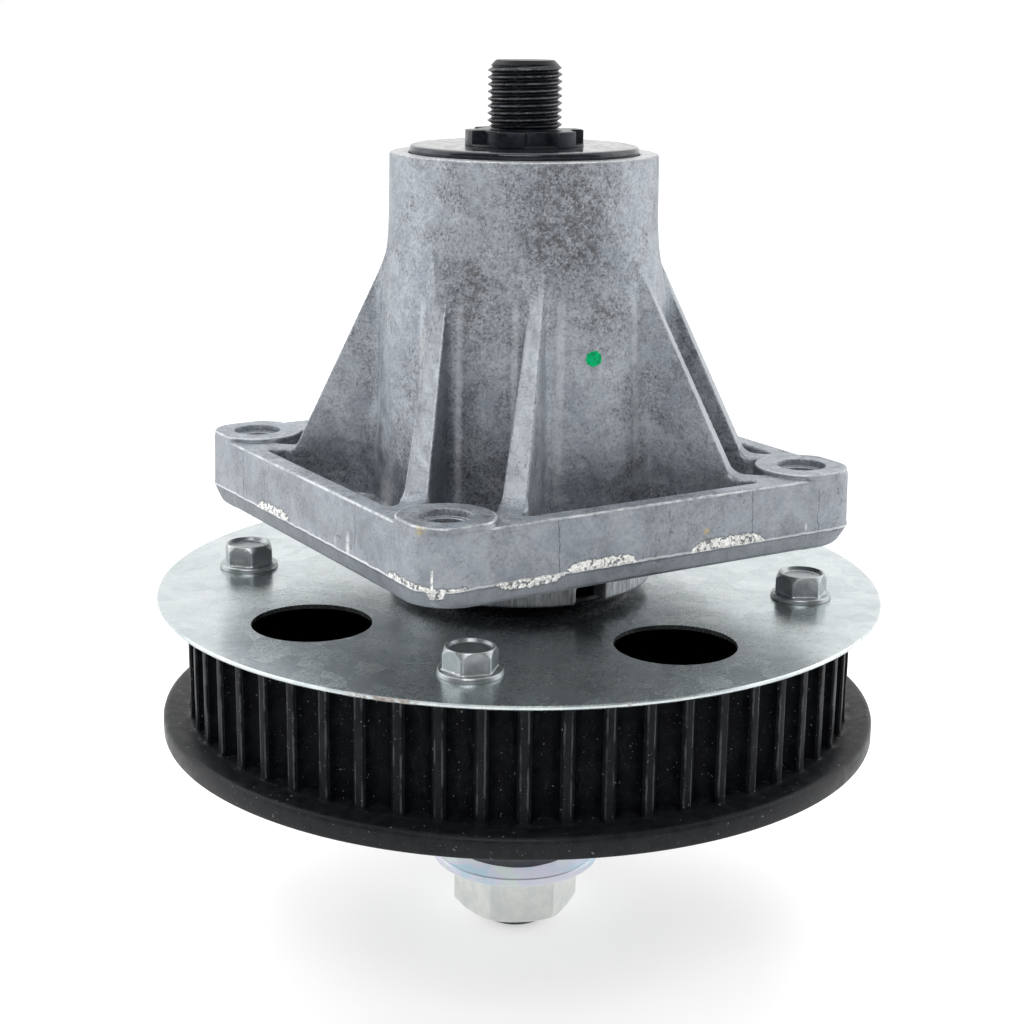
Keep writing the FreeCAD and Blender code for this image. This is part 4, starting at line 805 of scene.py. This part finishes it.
def galvanised():
    m = Mat("galvanised_sheet")
    flat = m.vec("MULTIPLY", m.P, (1.0, 1.0, 0.0))
    sp = m.cells(0.21, flat, out="Color")
    s = m.t.nodes.new("ShaderNodeSeparateXYZ")
    m.t.links.new(sp, s.inputs[0])
    s2 = m.t.nodes.new("ShaderNodeSeparateXYZ")
    m.t.links.new(m.cells(0.62, flat, out="Color"), s2.inputs[0])
    cloud = m.noise(0.05, 4, 0.6, vec=flat)
    fine = m.noise(1.1, 5, 0.65, vec=flat)
    c = m.mix(m.span(s.outputs[0], 0.0, 1.0, smooth=False), (0.46, 0.515, 0.528), (0.585, 0.63, 0.64))
    c = m.mix(m.span(s2.outputs[0], 0.0, 1.0, 0.0, 0.35, smooth=False), c, (0.68, 0.72, 0.725))
    c = m.mix(m.span(cloud, 0.4, 0.65, 0.0, 0.30), c, (0.37, 0.415, 0.425))
    c = m.mix(m.span(fine, 0.55, 0.75, 0.0, 0.25), c, (0.29, 0.32, 0.325))
    speck = m.span(m.noise(2.2, 3, 0.7, vec=flat), 0.655, 0.70)
    c = m.mix(m.math("MULTIPLY", speck, 0.7), c, (0.92, 0.92, 0.92))
    dark = m.span(m.noise(1.6, 3, 0.7, vec=m.vec("ADD", flat, (31.0, 7.0, 0.0))), 0.70, 0.75)
    c = m.mix(m.math("MULTIPLY", dark, 0.45), c, (0.16, 0.165, 0.16))
    # faint scratches
    scr = m.noise(0.22, 2, 0.4, vec=m.vec("MULTIPLY", flat, (0.15, 3.2, 0.0)))
    scr = m.span(m.math("ABSOLUTE", m.math("SUBTRACT", scr, 0.5)), 0.0, 0.004, 1.0, 0.0)
    scr = m.math("MULTIPLY", scr, m.span(m.noise(0.06, 2, vec=flat), 0.52, 0.6))
    c = m.mix(m.math("MULTIPLY", scr, 0.35), c, (0.82, 0.82, 0.82))
    # a little rust on the cut edge
    rad = m.vec("LENGTH", flat)
    edge = m.span(rad, 76.35, 76.6)
    rust = m.math("MULTIPLY", m.near((-58.0, -48.5, -14.8), 3.0, 9.5), m.span(m.noise(0.9, 4, 0.6), 0.40, 0.58))
    rust = m.math("MAXIMUM", rust, m.math("MULTIPLY", m.span(m.noise(0.33, 4, 0.6, vec=m.vec("ADD", flat, (90.0, 3.0, 0.0))), 0.62, 0.70), 0.6))
    rust = m.math("MULTIPLY", rust, edge)
    c = m.mix(m.math("MULTIPLY", rust, 0.75), c, (0.20, 0.11, 0.065))
    rough = m.math("ADD", m.span(s.outputs[1], 0.0, 1.0, 0.20, 0.27, smooth=False), m.span(fine, 0.4, 0.7, 0.0, 0.07))
    rough = m.math("ADD", rough, m.math("MULTIPLY", rust, 0.35))
    h = add(m, m.math("MULTIPLY", fine, 0.35), m.math("MULTIPLY", m.noise(0.12, 2, 0.5, vec=flat), 1.6))
    return m.set(color=c, rough=rough, metal=m.math("SUBTRACT", 0.95, m.math("MULTIPLY", rust, 0.7)), normal=m.bump(h, 0.35, 0.10))


def moulded_black():
    m = Mat("moulded_black")
    n = m.noise(0.35, 5, 0.6)
    c = m.mix(m.span(n, 0.35, 0.68), (0.0030, 0.0035, 0.0044), (0.0068, 0.0078, 0.0094))
    rad = m.vec("LENGTH", m.vec("MULTIPLY", m.P, (1, 1, 0)))
    # the lower flange's upper face and rim are greyer, from rubbing
    lowf = m.span(m.z, -39.2, -39.9)
    c = m.mix(m.math("MULTIPLY", lowf, m.span(n, 0.3, 0.7, 0.25, 0.6)), c, (0.016, 0.0172, 0.020))
    crest = m.math("MULTIPLY", m.span(rad, 70.2, 70.6), m.span(rad, 71.4, 71.0))
    c = m.mix(m.math("MULTIPLY", crest, m.span(m.noise(0.8, 4, stretch=(1, 1, 0.3)), 0.4, 0.7, 0.03, 0.25)), c, (0.026, 0.028, 0.031))
    smear = m.math("MULTIPLY", m.span(m.noise(0.5, 5, 0.65, stretch=(1, 1, 0.35)), 0.56, 0.72), m.span(rad, 66.9, 69.4, 1.0, 0.2))
    c = m.mix(m.math("MULTIPLY", smear, 0.20), c, (0.06, 0.062, 0.066))
    # painted highlight: thin lighter lines along both edges of each land
    turn = m.math("MULTIPLY", m.math("SUBTRACT", m.math("ARCTAN2", m.y, m.x), ang0 - 20 * math.pi), TEETH / (2 * math.pi))
    off = m.math("MULTIPLY", m.math("SUBTRACT", m.math("FRACT", turn), 0.5), 7.92)
    off = m.math("ADD", off, m.math("MULTIPLY", m.math("SUBTRACT", m.noise(0.5, 3, 0.6), 0.5), 0.35))
    e1 = m.span(m.math("ABSOLUTE", m.math("SUBTRACT", off, 0.72)), 0.10, 0.26, 1.0, 0.0)
    e2 = m.span(m.math("ABSOLUTE", m.math("ADD", off, 0.72)), 0.10, 0.26, 1.0, 0.0)
    edge = m.math("MAXIMUM", m.math("MULTIPLY", e1, m.span(m.noise(0.16, 3), 0.42, 0.58)), m.math("MULTIPLY", e2, m.span(m.noise(0.13, 3, vec=m.vec("ADD", m.P, (9.0, 40.0, 3.0))), 0.44, 0.60)))
    edge = m.math("MULTIPLY", m.math("MULTIPLY", edge, m.span(rad, 70.1, 70.35)), m.span(m.z, -39.4, -38.6))
    c = m.mix(m.math("MULTIPLY", edge, 0.65), c, (0.078, 0.083, 0.092))
    dust = m.span(m.noise(3.4, 3, 0.7), 0.66, 0.72)
    c = m.mix(m.math("MULTIPLY", dust, 0.5), c, (0.24, 0.245, 0.25))
    dust2 = m.span(m.noise(1.5, 2, 0.5), 0.715, 0.745)
    c = m.mix(m.math("MULTIPLY", dust2, 0.5), c, (0.36, 0.36, 0.36))
    h = add(m, m.math("MULTIPLY", m.noise(0.8, 3, 0.6), 0.6), m.math("MULTIPLY", m.noise(4.0, 1, 0.6), 0.3), m.math("MULTIPLY", m.noise(0.12, 1), 1.0))
    rough = m.math("SUBTRACT", m.span(n, 0.3, 0.7, 0.36, 0.50), m.math("MULTIPLY", lowf, 0.02))
    spec = m.math("ADD", 0.03, m.math("ADD", m.math("MULTIPLY", crest, 0.05), m.math("MULTIPLY", lowf, 0.12)))
    return m.set(color=c, rough=rough, metal=0.0, spec=spec, normal=m.bump(h, 0.4, 0.14))


def zinc(name, lo, hi, rough, tint_and_glow=0.0, metal=0.92, soil=0.6, rub=0.6):
    m = Mat(name)
    n = m.noise(0.4, 5, 0.6)
    f = m.noise(2.4, 4, 0.65)
    c = m.mix(m.span(n, 0.35, 0.65), lo, hi)
    c = m.mix(m.span(f, 0.52, 0.72, 0.0, soil * 0.66), c, tuple(v * 0.62 for v in lo))
    edge = m.span(m.pointy, 0.515, 0.575)
    c = m.mix(m.math("MULTIPLY", edge, rub), c, (0.86, 0.87, 0.86))
    dirt = m.span(m.pointy, 0.485, 0.42)
    c = m.mix(m.math("MULTIPLY", dirt, soil), c, (0.10, 0.105, 0.10))
    if tint_and_glow:
        hue = m.noise(0.16, 3, 0.5)
        tint = m.mix(m.span(hue, 0.38, 0.5), (0.56, 0.74, 0.86), (0.74, 0.74, 0.88))
        tint = m.mix(m.span(hue, 0.52, 0.64), tint, (0.72, 0.82, 0.80))
        top = m.span(m.z, -78.4, -77.2)
        c = m.mix(m.math("MULTIPLY", top, tint_and_glow), c, tint)
        # painted glow: the nut's upward faces emit the tint colour, a painted light on the flange top under the pulley
        m.put(m.bsdf.inputs["Emission Color"], tint)
        m.put(m.bsdf.inputs["Emission Strength"], m.math("MULTIPLY", m.span(m.nz, 0.55, 0.9), 0.58))
    h = add(m, m.math("MULTIPLY", n, 0.8), m.math("MULTIPLY", f, 0.35))
    return m.set(color=c, rough=m.math("ADD", m.span(n, 0.3, 0.7, rough - 0.05, rough + 0.06), m.math("MULTIPLY", dirt, 0.2)), metal=metal, normal=m.bump(h, 0.3, 0.09))


def ground_steel():
    m = Mat("ground_steel")
    n = m.noise(0.8, 4, 0.6)
    c = m.mix(m.span(n, 0.35, 0.65), (0.48, 0.48, 0.49), (0.62, 0.62, 0.63))
    rings_ = m.noise(1.0, 2, 0.5, vec=m.vec("MULTIPLY", m.P, (0.05, 0.05, 8.0)))
    return m.set(color=c, rough=m.span(n, 0.3, 0.7, 0.2, 0.32), metal=0.95, normal=m.bump(rings_, 0.25, 0.03))


def seal_rubber():
    m = Mat("seal_rubber")
    n = m.noise(1.2, 5, 0.6)
    c = m.mix(m.span(n, 0.35, 0.65), (0.016, 0.016, 0.017), (0.034, 0.034, 0.036))
    return m.set(color=c, rough=m.span(n, 0.3, 0.7, 0.55, 0.7), metal=0.0, normal=m.bump(n, 0.3, 0.08))


M_CAST = cast_aluminium()
M_SHIELD = black_oxide("shield_black", 0.018, 0.14)
M_SHAFT = black_oxide("shaft_black", 0.014, 0.30, True, 0.22)
M_SLEEVE = black_oxide("sleeve_black", 0.02, 0.4)
M_PLATE = galvanised()
M_PULLEY = moulded_black()
M_SCREW = zinc("screw_zinc", (0.32, 0.345, 0.355), (0.44, 0.468, 0.477), 0.36, 0.0, 0.90, 0.72, 0.40)
M_NUT = zinc("nut_zinc", (0.70, 0.735, 0.715), (0.80, 0.82, 0.79), 0.36, 0.85, 0.45, 0.26)
M_STEEL = ground_steel()
M_RUBBER = seal_rubber()


def paint(o, mat):
    o.data.materials.clear()
    o.data.materials.append(mat)


for name, o in NODE.items():
    if "seal" in name or "cage" in name:
        mat = M_RUBBER
    elif "bearing" in name:
        mat = M_STEEL
    elif name in ("lower_dust_shield", "upper_dust_shield"):
        mat = M_SHIELD
    elif name == "hub_sleeve":
        mat = M_SLEEVE
    elif name == "guard_plate":
        mat = M_PLATE
    elif name == "housing_casting":
        mat = M_CAST
    elif name == "toothed_pulley":
        mat = M_PULLEY
    elif name == "plate_screws":
        mat = M_SCREW
    elif name == "flange_nut":
        mat = M_NUT
    else:
        mat = M_SHAFT
    paint(o, mat)

for o, mat, body, node, sl in ((house, M_CAST, "housing", "housing_casting", "cast_aluminium"),
                               (shaft, M_SHAFT, "spindle", "spindle_shaft", "machined_steel"),
                               (shield_up, M_SHIELD, "spindle", "upper_dust_shield", "black_oxide_steel"),
                               (screws, M_SCREW, "spindle", "plate_screws", "zinc_plated_steel"),
                               (nutob, M_NUT, "spindle", "flange_nut", "zinc_plated_steel"),
                               (pulley, M_PULLEY, "spindle", "toothed_pulley", "pulley_plastic")):
    paint(o, mat)
    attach(o, body)
    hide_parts(node)

# ------------------------------------------------------------------ floor, light and camera
FLOOR_Z = -0.0925
fm = bpy.data.meshes.new("floor")
fm.from_pydata([(-20, -20, FLOOR_Z), (20, -20, FLOOR_Z), (20, 20, FLOOR_Z), (-20, 20, FLOOR_Z)], [], [(0, 1, 2, 3)])
floor = bpy.data.objects.new("floor", fm)
SC.collection.objects.link(floor)
F = Mat("floor_pale")
fn = F.noise(0.02, 3)
fcol = F.mix(F.span(fn, 0.3, 0.7), (0.64, 0.64, 0.64), (0.655, 0.655, 0.655))
F.put(F.bsdf.inputs["Emission Color"], fcol)
F.bsdf.inputs["Emission Strength"].default_value = 0.85
paint(floor, F.set(color=fcol, rough=0.9, spec=0.1))

world = bpy.data.worlds.new("studio")
SC.world = world
world.use_nodes = True
wt = world.node_tree
wt.nodes.clear()


def wnode(kind, **props):
    n = wt.nodes.new(kind)
    for k, v in props.items():
        setattr(n, k, v)
    return n


def area(name, loc, target, size, power, col=(1, 1, 1)):
    d = bpy.data.lights.new(name, "AREA")
    d.shape = "RECTANGLE"
    d.size, d.size_y = size
    d.energy = power
    d.color = col
    o = bpy.data.objects.new(name, d)
    o.location = loc
    v = Vector(target) - Vector(loc)
    o.rotation_euler = v.to_track_quat("-Z", "Y").to_euler()
    SC.collection.objects.link(o)
    return o


yaw, tilt, roll = math.radians(-0.24), math.radians(14.78), math.radians(0.65)
da = math.radians(-31.79)
Rz = Matrix.Rotation(da, 3, "Z")
r0 = Rz @ Vector((math.cos(yaw), -math.sin(yaw), 0))
fh = Rz @ Vector((math.sin(yaw), math.cos(yaw), 0))
zz = Vector((0, 0, 1))
FW = math.cos(tilt) * fh - math.sin(tilt) * zz
UP = math.sin(tilt) * fh + math.cos(tilt) * zz
RC = math.cos(roll) * r0 + math.sin(roll) * UP
UC = -math.sin(roll) * r0 + math.cos(roll) * UP
cd = bpy.data.cameras.new("camera")
cd.sensor_width = 36.0
cd.sensor_fit = "HORIZONTAL"
cd.lens = 36.0 * 1924.2 / 1024.0
cd.clip_start = 0.01
cd.clip_end = 50.0
cam = bpy.data.objects.new("camera", cd)
SC.collection.objects.link(cam)
mw = Matrix((RC, UC, -FW)).transposed().to_4x4()
mw.translation = Vector((-0.20903, -0.33727, 0.10581))
cam.matrix_world = mw
SC.camera = cam


def stand(side, back, up):
    """A place given by metres to the camera's right, away from the camera, and up."""
    return tuple(r0 * side + fh * back + zz * up)


# a pale studio: bright behind and beside the part, dim on the camera's side; plain white where it is seen directly
tcw = wnode("ShaderNodeTexCoord")
dotn = wnode("ShaderNodeVectorMath", operation="DOT_PRODUCT")
wt.links.new(tcw.outputs["Generated"], dotn.inputs[0])
dotn.inputs[1].default_value = tuple(fh)
mr = wnode("ShaderNodeMapRange", interpolation_type="SMOOTHSTEP")
wt.links.new(dotn.outputs["Value"], mr.inputs["Value"])
for k, v in (("From Min", -0.45), ("From Max", 0.55), ("To Min", 0.18), ("To Max", 1.2)):
    mr.inputs[k].default_value = v
lit = wnode("ShaderNodeBackground")
lit.inputs[0].default_value = (1.0, 1.0, 1.0, 1.0)
wt.links.new(mr.outputs[0], lit.inputs[1])
seen = wnode("ShaderNodeBackground")
seen.inputs[0].default_value = (1.0, 1.0, 1.0, 1.0)
seen.inputs[1].default_value = 1.0
lp = wnode("ShaderNodeLightPath")
mixw = wnode("ShaderNodeMixShader")
wout = wnode("ShaderNodeOutputWorld")
wt.links.new(lp.outputs["Is Camera Ray"], mixw.inputs[0])
wt.links.new(lit.outputs[0], mixw.inputs[1])
wt.links.new(seen.outputs[0], mixw.inputs[2])
wt.links.new(mixw.outputs[0], wout.inputs[0])

area("left_box", stand(-0.80, 0.12, 0.30), (0, 0, 0.0), (0.7, 0.9), 2.6)
area("right_box", stand(0.80, 0.16, 0.30), (0, 0, 0.0), (0.7, 0.9), 2.4)
area("key_box", stand(-0.10, -0.95, 0.90), (0, 0, 0.02), (0.75, 0.5), 6.3)
sd = bpy.data.lights.new("overhead", "SUN")
sd.energy = 1.15
sd.angle = math.radians(70)
so = bpy.data.objects.new("overhead", sd)
so.rotation_euler = Vector(tuple(-(r0 * -0.15 + fh * 0.28 + zz))).to_track_quat("-Z", "Y").to_euler()
SC.collection.objects.link(so)

SC.view_settings.view_transform = "Standard"
SC.view_settings.look = "None"
SC.view_settings.exposure = 0.0
SC.view_settings.gamma = 1.0
